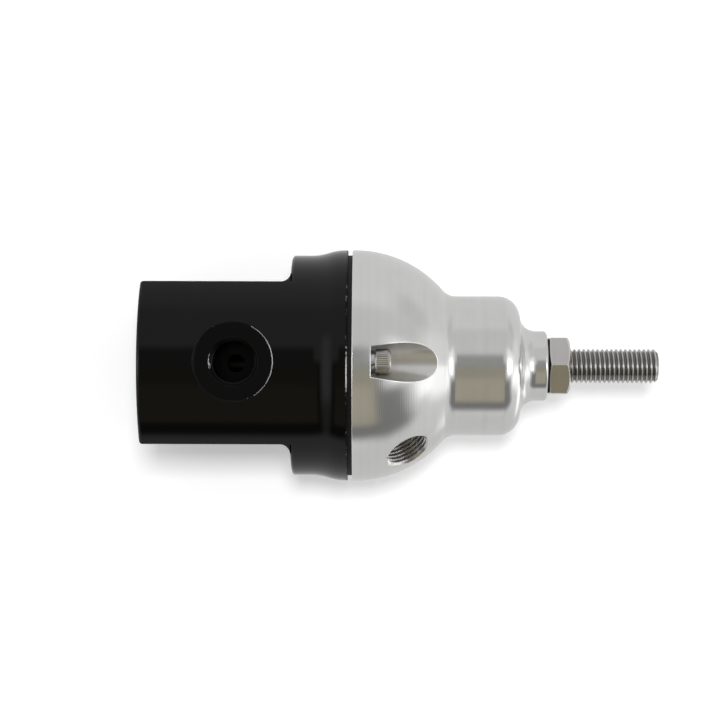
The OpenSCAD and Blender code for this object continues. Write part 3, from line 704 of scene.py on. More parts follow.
def machined(
    finishes, name, tint, rough, marks, metallic=1.0, wear=1.0, edge_highlight_tint=None, edge=FINE_EDGE, groove=None,
    ior=1.5,
):
    """Material with turning marks, handling and broken edges, with a painted highlight on the edges and a
    painted shade in a thread's roots where they are given
    """
    band_share = 0.7
    grain_share = 0.35
    paler = 0.05
    deeper = 0.07
    material, tree, shader = new_material(name)
    turning = effect(tree, "Turning marks", Spacing=MARK_SPACING)
    handling = effect(tree, "Handling")
    edges = effect(tree, "Broken edges", Radius=edge)
    bands = maths(tree, "MULTIPLY", turning["Band"], band_share)
    smudges = maths(tree, "MULTIPLY", handling["Smudge"], 1 - band_share)
    tone = maths(tree, "ADD", bands, smudges)
    plain = getattr(finishes, tint)
    base = blend_colour(tree, tone, scaled(plain, 1 + paler * wear), scaled(plain, 1 - deeper * wear))
    # Painted highlight: the edge mask blends the base colour towards a lighter tint along the broken edges
    if edge_highlight_tint:
        base = blend_colour(tree, edges["Edge"], base, getattr(finishes, edge_highlight_tint))
    # Painted shade: the base colour darkens from the thread's crest to its root
    if groove:
        level = effect(tree, "Thread shade", Root=groove[0], Crest=groove[1])["Level"]
        base = add(tree, "ShaderNodeVectorMath", {0: base, "Scale": level}, operation="SCALE").outputs[0]
    grain = maths(tree, "MULTIPLY", handling["Grain"], grain_share)
    relief = {
        "Height": maths(tree, "ADD", turning["Height"], grain), "Normal": edges["Normal"],
        "Strength": marks, "Distance": MARK_DEPTH,
    }
    plug(tree, shader, {
        "Base Color": base, "Metallic": metallic, "Roughness": ramp(tree, tone, 0.0, 1.0, *rough), "IOR": ior,
        "Normal": add(tree, "ShaderNodeBump", relief).outputs[0],
    })
    return material


def worn_rim_and_glint(finishes, name, axis, start, end, last, wear):
    """Dyed edge with metallic chips where noise is in the span of wear, from a start to the last along an
    axis; placed on one side, the chips give worn metal as well as painted glints and highlights
    """
    fade = 3 * MM
    chip_scale = 1500.0
    reach_share = 0.48
    material, tree, shader = new_material(name)
    place, parts = piece_place(tree)
    rise = ramp(tree, parts[axis], start, end)
    reach = maths(tree, "MULTIPLY", rise, ramp(tree, parts[axis], last, last - fade))
    chips = noise(tree, place, chip_scale, 1.0)
    level = maths(tree, "ADD", chips, maths(tree, "MULTIPLY", reach, reach_share))
    # Mask of the metallic chips, which paint glints and highlights as well as wear
    chip_and_glint_mask = ramp(tree, level, *wear)
    base = blend_colour(tree, chip_and_glint_mask, finishes.black_anodise, finishes.bare_chip_and_glint)
    plug(tree, shader, {"Base Color": base, "Metallic": chip_and_glint_mask, "Roughness": 0.3, "IOR": 1.23})
    return material


# Finishes of the record's material slots, and of machined places on the pieces
MACHINED = {
    "black_anodised": dict(
        name="dyed body finish", tint="black_anodise", metallic=0.0, rough=(0.05, 0.09), marks=0.025,
        edge_highlight_tint="black_edge_highlight", ior=1.32,
    ),
    # Painted shade: the bores reflect less than the body, so that the ports look dark inside
    "tapped_bore": dict(
        name="tapped bore finish", tint="black_anodise", metallic=0.0, rough=(0.2, 0.3), marks=0.05, ior=1.22,
    ),
    "clear_anodised": dict(
        name="turned bonnet finish", tint="clear_anodise", metallic=0.88, rough=(0.14, 0.2), marks=0.16,
        edge_highlight_tint="bonnet_edge_highlight", edge=0.3 * MM,
    ),
    "milled_pocket": dict(
        name="milled pocket finish", tint="milled_pocket", metallic=0.9, rough=(0.27, 0.36), marks=0.15,
        edge_highlight_tint="bonnet_edge_highlight", edge=0.3 * MM,
    ),
    "port_thread": dict(name="port thread finish", tint="port_thread", rough=(0.2, 0.28), marks=0.1),
    "screw_steel": dict(name="cap screw finish", tint="screw_steel", rough=(0.14, 0.24), marks=0.1),
    "stainless": dict(
        name="nut finish", tint="stainless", rough=(0.1, 0.16), marks=0.06,
        edge_highlight_tint="nut_edge_highlight", edge=0.35 * MM,
    ),
    "rolled_thread": dict(
        name="rolled thread finish", tint="rolled_thread", rough=(0.12, 0.18), marks=0.04, groove=STUD_ROOT_SHADE,
    ),
    # Painted shade on the stainless inner parts
    "wet_stainless": dict(name="wetted valve finish", tint="wet_stainless", rough=(0.25, 0.4), marks=0.1),
    "ball_steel": dict(name="ball finish", tint="bearing_steel", rough=(0.05, 0.09), marks=0.03),
    "zinc_plate": dict(name="zinc finish", tint="zinc", rough=(0.28, 0.42), marks=0.35, wear=1.6),
    "spring_wire": dict(name="wire finish", tint="spring_wire", rough=(0.3, 0.45), marks=0.4, wear=2.0),
    "black_rubber": dict(
        name="rubber finish", tint="rubber", metallic=0.0, rough=(0.6, 0.8), marks=0.5, wear=2.0,
    ),
}
WORN_AND_GLINT_RIMS = {
    # Chips at the spot face's rim, placed on the side where a highlight shows: partly wear, partly a painted
    # highlight
    "spot_rim": dict(
        name="spot rim finish", axis="Z", start=GAUGE_HEIGHT + 1 * MM, end=GAUGE_HEIGHT + 8 * MM,
        last=GAUGE_HEIGHT + 16 * MM, wear=(0.75, 0.84),
    ),
    # Painted glint on one side of the gauge port's chamfer
    "mouth_rim": dict(
        name="mouth rim finish", axis="Z", start=GAUGE_HEIGHT - 4.75 * MM, end=GAUGE_HEIGHT - 5.3 * MM,
        last=GAUGE_HEIGHT, wear=(0.78, 1.1),
    ),
    # Painted highlight along one side of the flange's rim
    "flange_rim": dict(
        name="flange rim finish", axis="X", start=-4.5 * MM, end=0, last=8 * MM, wear=(0.62, 1.35),
    ),
}


def material_for(slot, finishes):
    """Finish of a slot or of a machined place, which is built once"""
    maker, values = (worn_rim_and_glint, WORN_AND_GLINT_RIMS[slot]) if slot in WORN_AND_GLINT_RIMS else (machined, MACHINED[slot])
    return bpy.data.materials.get(values["name"]) or maker(finishes, **values)


# Ports


def port_tools(name, profile, root, thread_height, pitch, low, place):
    """Cutting tools of a threaded port: its turned bore and its tap, with its mouth at a place"""
    crest = root + thread_height
    bore = spun(name, profile, BORE_FACETS)
    tap = thread_rod(name + "_tap", CUT_FORM, root, crest, pitch, low, 0)
    combine(tap, rod(name + "_limit", crest, low, OVERLAP), "INTERSECT")
    return [moved(bore, place), moved(tap, place)]


def fuel_tools(name, sizes, place, way):
    """Tools of a straight fuel port with a coned mouth and a way into the body"""
    root = FUEL_RADIUS
    mouth = sizes.fuel_mouth_radius
    passage = sizes.passage_radius
    depth = sizes.fuel_depth
    profile = [
        (0, OVERLAP), (mouth, OVERLAP), (mouth, 0), (root, -sizes.fuel_mouth_depth),
        (root, -depth), (passage, -depth), (passage, -way), (0, -way),
    ]
    low = -depth + sizes.fuel_pitch
    return port_tools(name, profile, root, sizes.fuel_thread_depth, sizes.fuel_pitch, low, place)


def pipe_tools(name, sizes, place, depth, way, chamfer, widening=0):
    """Tools of a pipe port with a chamfered mouth and a drilled way"""
    root = PIPE_RADIUS + widening
    passage = sizes.passage_radius
    profile = [
        (0, OVERLAP), (root + chamfer + OVERLAP, OVERLAP), (root, -chamfer), (root, -depth),
        (passage, -depth), (passage, -way), (0, -way),
    ]
    return port_tools(name, profile, root, sizes.thread_height, sizes.pitch, -depth + sizes.pitch, place)


# Pieces


class REGULATOR_OT_lower_body(bpy.types.Operator):
    """Builds the ported lower body with its threaded ports"""

    bl_idname = "regulator.lower_body"
    bl_label = "Lower Body"

    def execute(self, context):
        scene = context.scene
        sizes = scene.regulator_body
        body_r = sizes.flange_radius - sizes.flange_step
        barrel = combine(self.barrel(sizes, body_r), self.flats(sizes), "INTERSECT")
        piece = combine(self.flange(sizes, body_r), barrel, "UNION")
        piece.name = "ported_body"
        cut(piece, self.axis_bore(sizes))
        ports = self.fuel_ports(sizes)
        for name, place, way in ports:
            cut(piece, *fuel_tools(name, sizes, place, way))
        spot_place = self.cut_gauge_port(piece, scene, body_r)
        for place in screw_places(scene):
            foot = LOW["bonnet_screws"].z - sizes.tap_room
            cut(piece, moved(rod("tap_hole", sizes.tap_radius, foot, sizes.height + OVERLAP), place))
        fit_out(piece, material_for("black_anodised", scene.regulator_finishes), "lower_body")
        self.finish_places(piece, scene, body_r, [place for _, place, _ in ports], spot_place)
        return {"FINISHED"}

    def barrel(self, sizes, body_r):
        """Round body under the flange, with a rounded foot"""
        edge = sizes.edge_radius
        top = sizes.flat_height + edge
        profile = [(0, 0)] + arc((body_r - edge, edge), edge, -90, 0) + [(body_r, top), (0, top)]
        return spun("barrel", profile, SHELL_FACETS)

    def flats(self, sizes):
        """Block between the port flats, which run into their steps by fillets"""
        edge = sizes.edge_radius
        x = sizes.flat_distance
        top = sizes.flat_height
        fillet = sizes.flat_fillet
        half = arc((x - edge, edge), edge, -90, 0)
        half += arc((x + fillet, top - fillet), fillet, 180, 90)
        half += [(x, top), (x, top + edge)]
        outline = half + [(-px, pz) for px, pz in reversed(half)]
        return prism("flats", outline, -sizes.flange_radius, sizes.flange_radius)

    def flange(self, sizes, body_r):
        """Flange that flares out of the body in two arcs"""
        flange_r = sizes.flange_radius
        flare = sizes.flare_radius
        edge = sizes.edge_radius
        rim = sizes.rim_radius
        lean = math.acos(1 - sizes.flange_step / (2 * flare))
        rise = flare * math.sin(lean)
        top = sizes.height - sizes.rim_height
        lean = math.degrees(lean)
        profile = [(0, sizes.flat_height)] + arc((body_r - edge, sizes.flat_height + edge), edge, -90, 0)
        profile += arc((body_r + flare, top - 2 * rise), flare, 180, 180 - lean)
        profile += arc((flange_r - flare, top), flare, -lean, 0)[1:]
        profile += arc((flange_r - rim, sizes.height - rim), rim, 0, 90) + [(0, sizes.height)]
        return spun("flange", profile, SHELL_FACETS)

    def axis_bore(self, sizes):
        """Tool of the seat's hole, the gallery and the chamber under the diaphragm"""
        web_top = sizes.fuel_depth + sizes.web
        floor = sizes.height - sizes.pressure_depth
        top = sizes.height + OVERLAP
        low = sizes.fuel_depth - OVERLAP
        hole = sizes.web_hole_radius
        gallery = sizes.gallery_radius
        chamber = sizes.pressure_radius
        profile = [
            (0, low), (hole, low), (hole, web_top), (gallery, web_top), (gallery, floor),
            (chamber, floor), (chamber, top), (0, top),
        ]
        return spun("axis_bore", profile, BORE_FACETS)

    def fuel_ports(self, sizes):
        """Name, mouth and way of each fuel port"""
        ports = []
        for name in ("inlet_port_a", "inlet_port_b"):
            axis = Vector(MOUNTS[name]["axis"])
            mouth = axis * sizes.flat_distance + Vector((0, 0, MOUNTS[name]["pos_m"][2]))
            ports.append((name, facing(mouth, axis), sizes.flat_distance))
        return_place = facing((0, 0, 0), MOUNTS["return_port"]["axis"])
        ports.append(("return_port", return_place, sizes.fuel_depth + sizes.web / 2))
        return ports

    def cut_gauge_port(self, piece, scene, body_r):
        """Cuts the gauge port and its spot face, and gives the middle of that face"""
        sizes = scene.regulator_body
        pipe = scene.regulator_pipe
        axis = Vector(MOUNTS["gauge_port"]["axis"])
        reach = body_r - sizes.spot_depth
        place = facing(axis * reach + Vector((0, 0, GAUGE_HEIGHT)), axis)
        radius = sizes.spot_radius
        chamfer = sizes.spot_chamfer
        outer = radius + 2 * chamfer

        def wall(a):
            return math.sqrt(body_r**2 - (radius * math.cos(a)) ** 2) - reach

        rings = [
            (0, 0), (radius, 0), (radius, lambda a: max(wall(a) - chamfer, LEAST_SPOT_WALL * chamfer)),
            (outer, lambda a: wall(a) + chamfer), (outer, body_r), (0, body_r),
        ]
        cut(piece, moved(spun("spot_face", rings, SHELL_FACETS), place))
        cut(piece, *pipe_tools("gauge_port", pipe, place, sizes.gauge_depth, reach, pipe.chamfer))
        return place

    def finish_places(self, piece, scene, body_r, fuel_places, spot_place):
        """Gives the bores their own finish, and the rims worn chips, a painted glint and a painted highlight
        """
        sizes = scene.regulator_body
        chamfer = scene.regulator_pipe.chamfer
        mouth = (0, PIPE_RADIUS + chamfer)
        flange = (sizes.flange_radius - sizes.rim_radius, sizes.flange_radius)
        flange_heights = (sizes.height - sizes.rim_radius, sizes.height)
        spot = (sizes.spot_radius + NEAR, sizes.spot_radius + 2 * sizes.spot_chamfer)
        bores, mouth_rim, flange_rim, spot_rim = (
            material_for(slot, scene.regulator_finishes)
            for slot in ("tapped_bore", "mouth_rim", "flange_rim", "spot_rim")
        )
        # The bores get the less reflective finish as painted shade
        reface(piece, bores, fuel_places, (0, sizes.fuel_mouth_radius), (-sizes.flat_distance, -SKIN))
        reface(piece, bores, [spot_place], mouth, (-sizes.gauge_depth, -chamfer))
        reface(piece, mouth_rim, [spot_place], mouth, (-chamfer, -SKIN), leaning=True)
        reface(piece, flange_rim, [Matrix()], flange, flange_heights)
        reface(piece, spot_rim, [spot_place], spot, (0, body_r), leaning=True)


class REGULATOR_OT_spring_bonnet(bpy.types.Operator):
    """Builds the domed bonnet with its screw pockets and vacuum port"""

    bl_idname = "regulator.spring_bonnet"
    bl_label = "Spring Bonnet"

    def execute(self, context):
        scene = context.scene
        sizes = scene.regulator_bonnet
        finishes = scene.regulator_finishes
        piece = spun("spring_bonnet_shell", self.profile(scene, sizes), SHELL_FACETS, closed=True)
        floor = LOW["spring_bonnet"].z + sizes.pocket_floor
        for place in screw_places(scene):
            cut(piece, *[moved(tool, place) for tool in self.pocket(sizes, floor)])
        port, mouth = self.cut_vacuum_port(piece, scene, sizes)
        fit_out(piece, material_for("clear_anodised", finishes), "spring_bonnet")
        wells = [place @ Matrix.Translation((0, 0, floor)) for place in screw_places(scene)]
        well_radii = (0, sizes.pocket_radius + SKIN)
        milled = material_for("milled_pocket", finishes)
        thread = material_for("port_thread", finishes)
        reface(piece, milled, wells, well_radii, (-NEAR, HIGH["spring_bonnet"].z))
        # The vacuum port's faces get the darker thread finish as painted shade
        reface(piece, thread, [port], (0, mouth), (-PORT_REACH * mouth, 0))
        return {"FINISHED"}

    def profile(self, scene, sizes):
        """Section of the shell: up the dome, neck and tip, and down the inside"""
        flange_r = scene.regulator_body.flange_radius
        foot = LOW["spring_bonnet"].z
        tip = HIGH["spring_bonnet"].z
        dome = foot + sizes.rim_height
        rim = scene.regulator_body.rim_radius / 2
        fillet_x = sizes.neck_radius + sizes.neck_fillet
        fillet_rise = math.sqrt((flange_r + sizes.neck_fillet) ** 2 - fillet_x**2)
        touch = math.degrees(math.atan2(fillet_rise, fillet_x))
        shoulder_x = sizes.neck_radius - sizes.shoulder_radius
        cove_x = sizes.tip_radius + sizes.cove_radius
        cove_rise = math.sqrt((sizes.shoulder_radius + sizes.cove_radius) ** 2 - (cove_x - shoulder_x) ** 2)
        lean = math.degrees(math.atan2(cove_rise, cove_x - shoulder_x))
        cove_z = tip - sizes.tip_height
        edge = sizes.tip_edge
        outside = arc((flange_r - rim, foot + rim), rim, -90, 0)
        outside += arc((0, dome), flange_r, 0, touch)
        outside += arc((fillet_x, dome + fillet_rise), sizes.neck_fillet, 180 + touch, 180)[1:]
        outside += arc((shoulder_x, cove_z - cove_rise), sizes.shoulder_radius, 0, lean)
        outside += arc((cove_x, cove_z), sizes.cove_radius, 180 + lean, 180)[1:]
        outside += arc((sizes.tip_radius - edge, tip - edge), edge, 0, 90)
        guide_end = tip - sizes.tip_thread
        relief_top = foot + sizes.relief_height
        inside = [
            (sizes.stud_hole_radius, tip), (sizes.stud_hole_radius, guide_end),
            (sizes.guide_radius, guide_end), (sizes.guide_radius, foot + sizes.guide_start),
            (sizes.chamber_radius, foot + sizes.chamber_height), (sizes.chamber_radius, relief_top),
            (sizes.relief_radius, relief_top), (sizes.relief_radius, foot),
        ]
        return outside + inside

    def pocket(self, sizes, floor):
        """Tools of a screw's hole and of the pocket round its head"""
        foot = LOW["spring_bonnet"].z - OVERLAP
        hole = rod("screw_hole", sizes.screw_hole_radius, foot, floor + OVERLAP)
        return [hole, rod("pocket", sizes.pocket_radius, floor, HIGH["spring_bonnet"].z, SHELL_FACETS)]

    def cut_vacuum_port(self, piece, scene, sizes):
        """Cuts the vacuum port square to the dome, and gives its place and its mouth's radius"""
        pipe = scene.regulator_pipe
        flange_r = scene.regulator_body.flange_radius
        axis = Vector(MOUNTS["vacuum_port"]["axis"])
        dome = Vector((0, 0, LOW["spring_bonnet"].z + sizes.rim_height))
        mouth = PIPE_RADIUS + pipe.chamfer
        reach = math.sqrt(flange_r**2 - mouth**2)
        place = facing(dome + axis * reach, axis)
        depth = reach - flange_r + sizes.vacuum_depth
        way = reach - sizes.guide_radius
        cut(piece, *pipe_tools("vacuum_port", pipe, place, depth, way, pipe.worn_chamfer, pipe.vacuum_taper))
        return place, mouth


class REGULATOR_OT_bonnet_screws(bpy.types.Operator):
    """Builds the knurled cap screws and their split lock washers"""

    bl_idname = "regulator.bonnet_screws"
    bl_label = "Bonnet Screws"

    def execute(self, context):
        scene = context.scene
        sizes = scene.regulator_fasteners
        head = HIGH["bonnet_screws"].z - sizes.head_height
        places = [Matrix.Translation((0, 0, head)) @ place for place in screw_places(scene)]
        screws = self.copies("cap_screws", self.screw(sizes), places)
        washers = self.copies("split_washers", self.washer(sizes), places)
        fit_out(screws, material_for("screw_steel", scene.regulator_finishes), "bonnet_screws")
        fit_out(washers, material_for("zinc_plate", scene.regulator_finishes), "lock_washers")
        return {"FINISHED"}

    def copies(self, name, first, places):
        """Turns a piece into copies of itself at places"""
        shape = bmesh.new()
        for place in places:
            mesh = first.data.copy()
            mesh.transform(place)
            shape.from_mesh(mesh)
            bpy.data.meshes.remove(mesh)
        shape.to_mesh(first.data)
        shape.free()
        first.name = name
        return first

    def screw(self, sizes):
        """Cap screw with its head on the origin"""
        radius = sizes.head_radius
        edge = sizes.head_edge
        top = sizes.head_height
        seat = HIGH["bonnet_screws"].z - top
        tip = LOW["bonnet_screws"].z - seat
        shank = sizes.shank_radius
        shank_end = LOW["spring_bonnet"].z - seat
        thread = sizes.thread_radius

        def knurled(a):
            return radius - sizes.knurl_depth * (0.5 - 0.5 * math.cos(a * sizes.knurls))

        plain = radius - sizes.knurl_depth
        socket = hexagon(sizes.key_width)
        lead = sizes.key_width / 2 * KEY_LEAD
        key_floor = top - sizes.key_depth
        rings = [
            (0, tip), (thread - sizes.tip_chamfer, tip), (thread, tip + sizes.tip_chamfer),
            (thread, shank_end), (shank, shank_end), (shank, 0),
            (plain - edge / 2, 0), (plain, edge / 2), (knurled, edge), (knurled, top - 2 * edge),
            (plain, top - 1.5 * edge), (plain, top - edge), (plain - edge, top),
            (lead, top), (socket, top - sizes.key_lead_depth), (socket, key_floor), (0, key_floor),
        ]
        return spun("cap_screw", rings, FASTENER_FACETS)

    def washer(self, sizes):
        """Lock washer under the origin, split at a slant"""
        low = -sizes.washer_height
        hole = sizes.shank_radius + sizes.washer_room
        bevel = sizes.washer_bevel
        out = sizes.washer_radius
        rings = [
            (hole, low + bevel), (hole + bevel, low), (out - bevel, low), (out, low + bevel),
            (out, -bevel), (out - bevel, 0), (hole + bevel, 0), (hole, -bevel),
        ]
        ring = spun("washer", rings, FASTENER_FACETS, closed=True)
        half = sizes.washer_split / 2
        slant = WASHER_SLANT * sizes.washer_height
        outline = [
            (-half - slant, 2 * low), (half - slant, 2 * low),
            (half + 3 * slant, -low), (-half + 3 * slant, -low),
        ]
        gap = prism("split", outline, 0, 2 * out)
        return cut(ring, moved(gap, Matrix.Rotation(sizes.washer_turn, 4, "Z")))


class REGULATOR_OT_adjusting_stud(bpy.types.Operator):
    """Builds the threaded adjusting stud"""

    bl_idname = "regulator.adjusting_stud"
    bl_label = "Adjusting Stud"

    def execute(self, context):
        scene = context.scene
        sizes = scene.regulator_fasteners
        low = LOW["adjusting_screw"].z
        high = HIGH["adjusting_screw"].z
        crest = sizes.stud_radius
        root = crest - sizes.stud_thread
        chamfer = sizes.stud_chamfer
        end = crest - chamfer
        piece = thread_rod("threaded_stud", ROLLED_FORM, root, crest, sizes.stud_pitch, low, high)
        limit = [
            (0, low), (end, low), (crest, low + chamfer), (crest, high - chamfer), (end, high), (0, high),
        ]
        combine(piece, spun("stud_limit", limit, BORE_FACETS), "INTERSECT")
        cut(piece, self.key(sizes, high), self.cup(sizes, low))
        thread = material_for("rolled_thread", scene.regulator_finishes)
        fit_out(piece, thread, "adjusting_screw", ROLLED_SMOOTH_ANGLE)
        return {"FINISHED"}

    def key(self, sizes, high):
        """Tool of the hexagon socket and the chamfer round it"""
        socket = hexagon(sizes.stud_key)
        floor = high - sizes.stud_key_depth
        lead = sizes.stud_key / 2 * STUD_KEY_LEAD
        top = high + OVERLAP
        lead_floor = high - sizes.stud_lead_depth
        rings = [(0, floor), (socket, floor), (socket, lead_floor), (lead + OVERLAP, top), (0, top)]
        return spun("stud_key", rings, FASTENER_FACETS)

    def cup(self, sizes, low):
        """Tool of the cup that holds the thrust ball"""
        ball = sizes.nose_ball_radius
        side = arc((0, low - ball + sizes.nose_cup), ball, -90, 90)
        rings = [(0, side[0][1])] + side[1:-1] + [(0, side[-1][1])]
        return spun("nose_cup", rings, BORE_FACETS)


class REGULATOR_OT_jam_nut(bpy.types.Operator):
    """Builds the chamfered jam nut"""

    bl_idname = "regulator.jam_nut"
    bl_label = "Jam Nut"

    def execute(self, context):
        scene = context.scene
        sizes = scene.regulator_fasteners
        low = LOW["jam_nut"].z
        high = HIGH["jam_nut"].z
        face = sizes.nut_face * sizes.nut_width / 2
        bore = sizes.nut_bore
        sink = sizes.nut_countersink
        turned = hexagon(sizes.nut_width)

        def side(a):
            return turned(a + math.pi / 6)

        def drop(a, slope):
            return (side(a) - face) * math.tan(slope)

        rings = [
            (bore, low + sink), (bore + sink, low), (face, low),
            (side, lambda a: low + drop(a, sizes.nut_seat_slope)),
            (side, lambda a: high - drop(a, sizes.nut_slope)),
            (face, high), (bore + sink, high), (bore, high - sink),
        ]
        piece = spun("hexagon_jam_nut", rings, FASTENER_FACETS, closed=True)
        fit_out(piece, material_for("stainless", scene.regulator_finishes), "jam_nut")
        return {"FINISHED"}


class REGULATOR_OT_main_spring(bpy.types.Operator):
    """Builds the main spring with ground ends, in two lengths"""

    bl_idname = "regulator.main_spring"
    bl_label = "Main Spring"

    def execute(self, context):
        scene = context.scene
        sizes = scene.regulator_fasteners
        split = sizes.spring_split
        material = material_for("spring_wire", scene.regulator_finishes)
        foot = dress(self.coil("coil_spring_foot", sizes, 0, split), material, "main_spring")
        rest = dress(self.coil("coil_spring", sizes, split, sizes.spring_turns), material, "main_spring")
        middle = (0, 0, self.height(sizes, split))
        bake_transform(foot)
        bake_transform(rest)
        return {"FINISHED"}

    def height(self, sizes, turn):
        """Height of the wire's middle after a number of turns"""
        inset = GROUND_SHARE * 2 * sizes.wire_radius
        start = LOW["main_spring"].z + inset
        stop = HIGH["main_spring"].z - inset
        turns = sizes.spring_turns
        end_pitch = CLOSED_PITCH * sizes.wire_radius
        if turn < 1:
            return start + end_pitch * turn
        if turn > turns - 1:
            return stop - end_pitch * (turns - turn)
        return start + end_pitch + (stop - start - 2 * end_pitch) / (turns - 2) * (turn - 1)

    def coil(self, name, sizes, first, last):
        """Length of the spring's wire from one turn to another"""
        wire = sizes.wire_radius
        steps = round((last - first) * THREAD_FACETS)
        points = []
        for i in range(steps + 1):
            turn = first + (last - first) * i / steps
            middle = self.height(sizes, turn)
            for j in range(WIRE_FACETS):
                b = math.tau * j / WIRE_FACETS
                r = sizes.spring_radius + wire * math.cos(b)
                z = min(max(middle + wire * math.sin(b), LOW["main_spring"].z), HIGH["main_spring"].z)
                points.append((r * math.cos(math.tau * turn), r * math.sin(math.tau * turn), z))
        faces = []
        for i in range(steps):
            for j in range(WIRE_FACETS):
                k = (j + 1) % WIRE_FACETS
                low = i * WIRE_FACETS
                high = low + WIRE_FACETS
                faces.append([low + j, low + k, high + k, high + j])
        faces += [list(range(WIRE_FACETS)), list(range(steps * WIRE_FACETS, (steps + 1) * WIRE_FACETS))]
        return new_object(name, points, faces)


class REGULATOR_OT_diaphragm(bpy.types.Operator):
    """Builds the rolled diaphragm in two halves that meet at the roll's crest, so that its middle lifts"""

    bl_idname = "regulator.diaphragm"
    bl_label = "Diaphragm"

    def execute(self, context):
        scene = context.scene
        sizes = scene.regulator_diaphragm
        low = LOW["diaphragm"].z
        top = low + sizes.thickness
        material = material_for("black_rubber", scene.regulator_finishes)
        rim = spun("diaphragm_rim", self.half(sizes, 1, HIGH["diaphragm"].x), SHELL_FACETS, closed=True)
        hole_r = scene.regulator_bonnet.screw_hole_radius
        for place in screw_places(scene):
            cut(rim, moved(rod("diaphragm_hole", hole_r, low - OVERLAP, top + OVERLAP), place))
        centre = spun("diaphragm_centre", self.half(sizes, -1, sizes.stem_hole), SHELL_FACETS, closed=True)
        dress(rim, material, "diaphragm")
        dress(centre, material, "diaphragm")
        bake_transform(rim)
        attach(centre, "valve")
        return {"FINISHED"}

    def half(self, sizes, side, edge):
        """Section of the roll and flat on one side of the roll's crest, as far as an edge"""
        low = LOW["diaphragm"].z
        top = low + sizes.thickness
        middle = (low + top) / 2
        half = sizes.thickness / 2
        curve = sizes.roll_curve
        foot = math.degrees(math.asin(half / (curve + half)))
        over = arc((0, middle), curve + half, foot, 90)
        under = arc((0, middle), curve - half, 90, 0)
        section = [(x + sizes.crest_gap, z) for x, z in over + under] + [(curve, middle), (curve, low)]
        section = [(sizes.roll_radius + side * x, z) for x, z in section]
        return [(edge, low), (edge, top)] + section


class REGULATOR_OT_inner_works(bpy.types.Operator):
    """Gives the valve, seals and spring seat, which keep their solids, their finishes; the stainless parts
    are painted near black as shade
    """

    bl_idname = "regulator.inner_works"
    bl_label = "Inner Works"

    def execute(self, context):
        finishes = context.scene.regulator_finishes
        for name, part in frame["nodes"].items():
            if part.hide_render:
                continue
            slot = SLOT_OF[name]
            # Stainless inner parts take the near-black painted shade
            material = material_for("wet_stainless" if slot == "stainless" else slot, finishes)
            if not part.material_slots:
                part.data.materials.append(material)
            for held in part.material_slots:
                held.material = material
        return {"FINISHED"}


# Studio


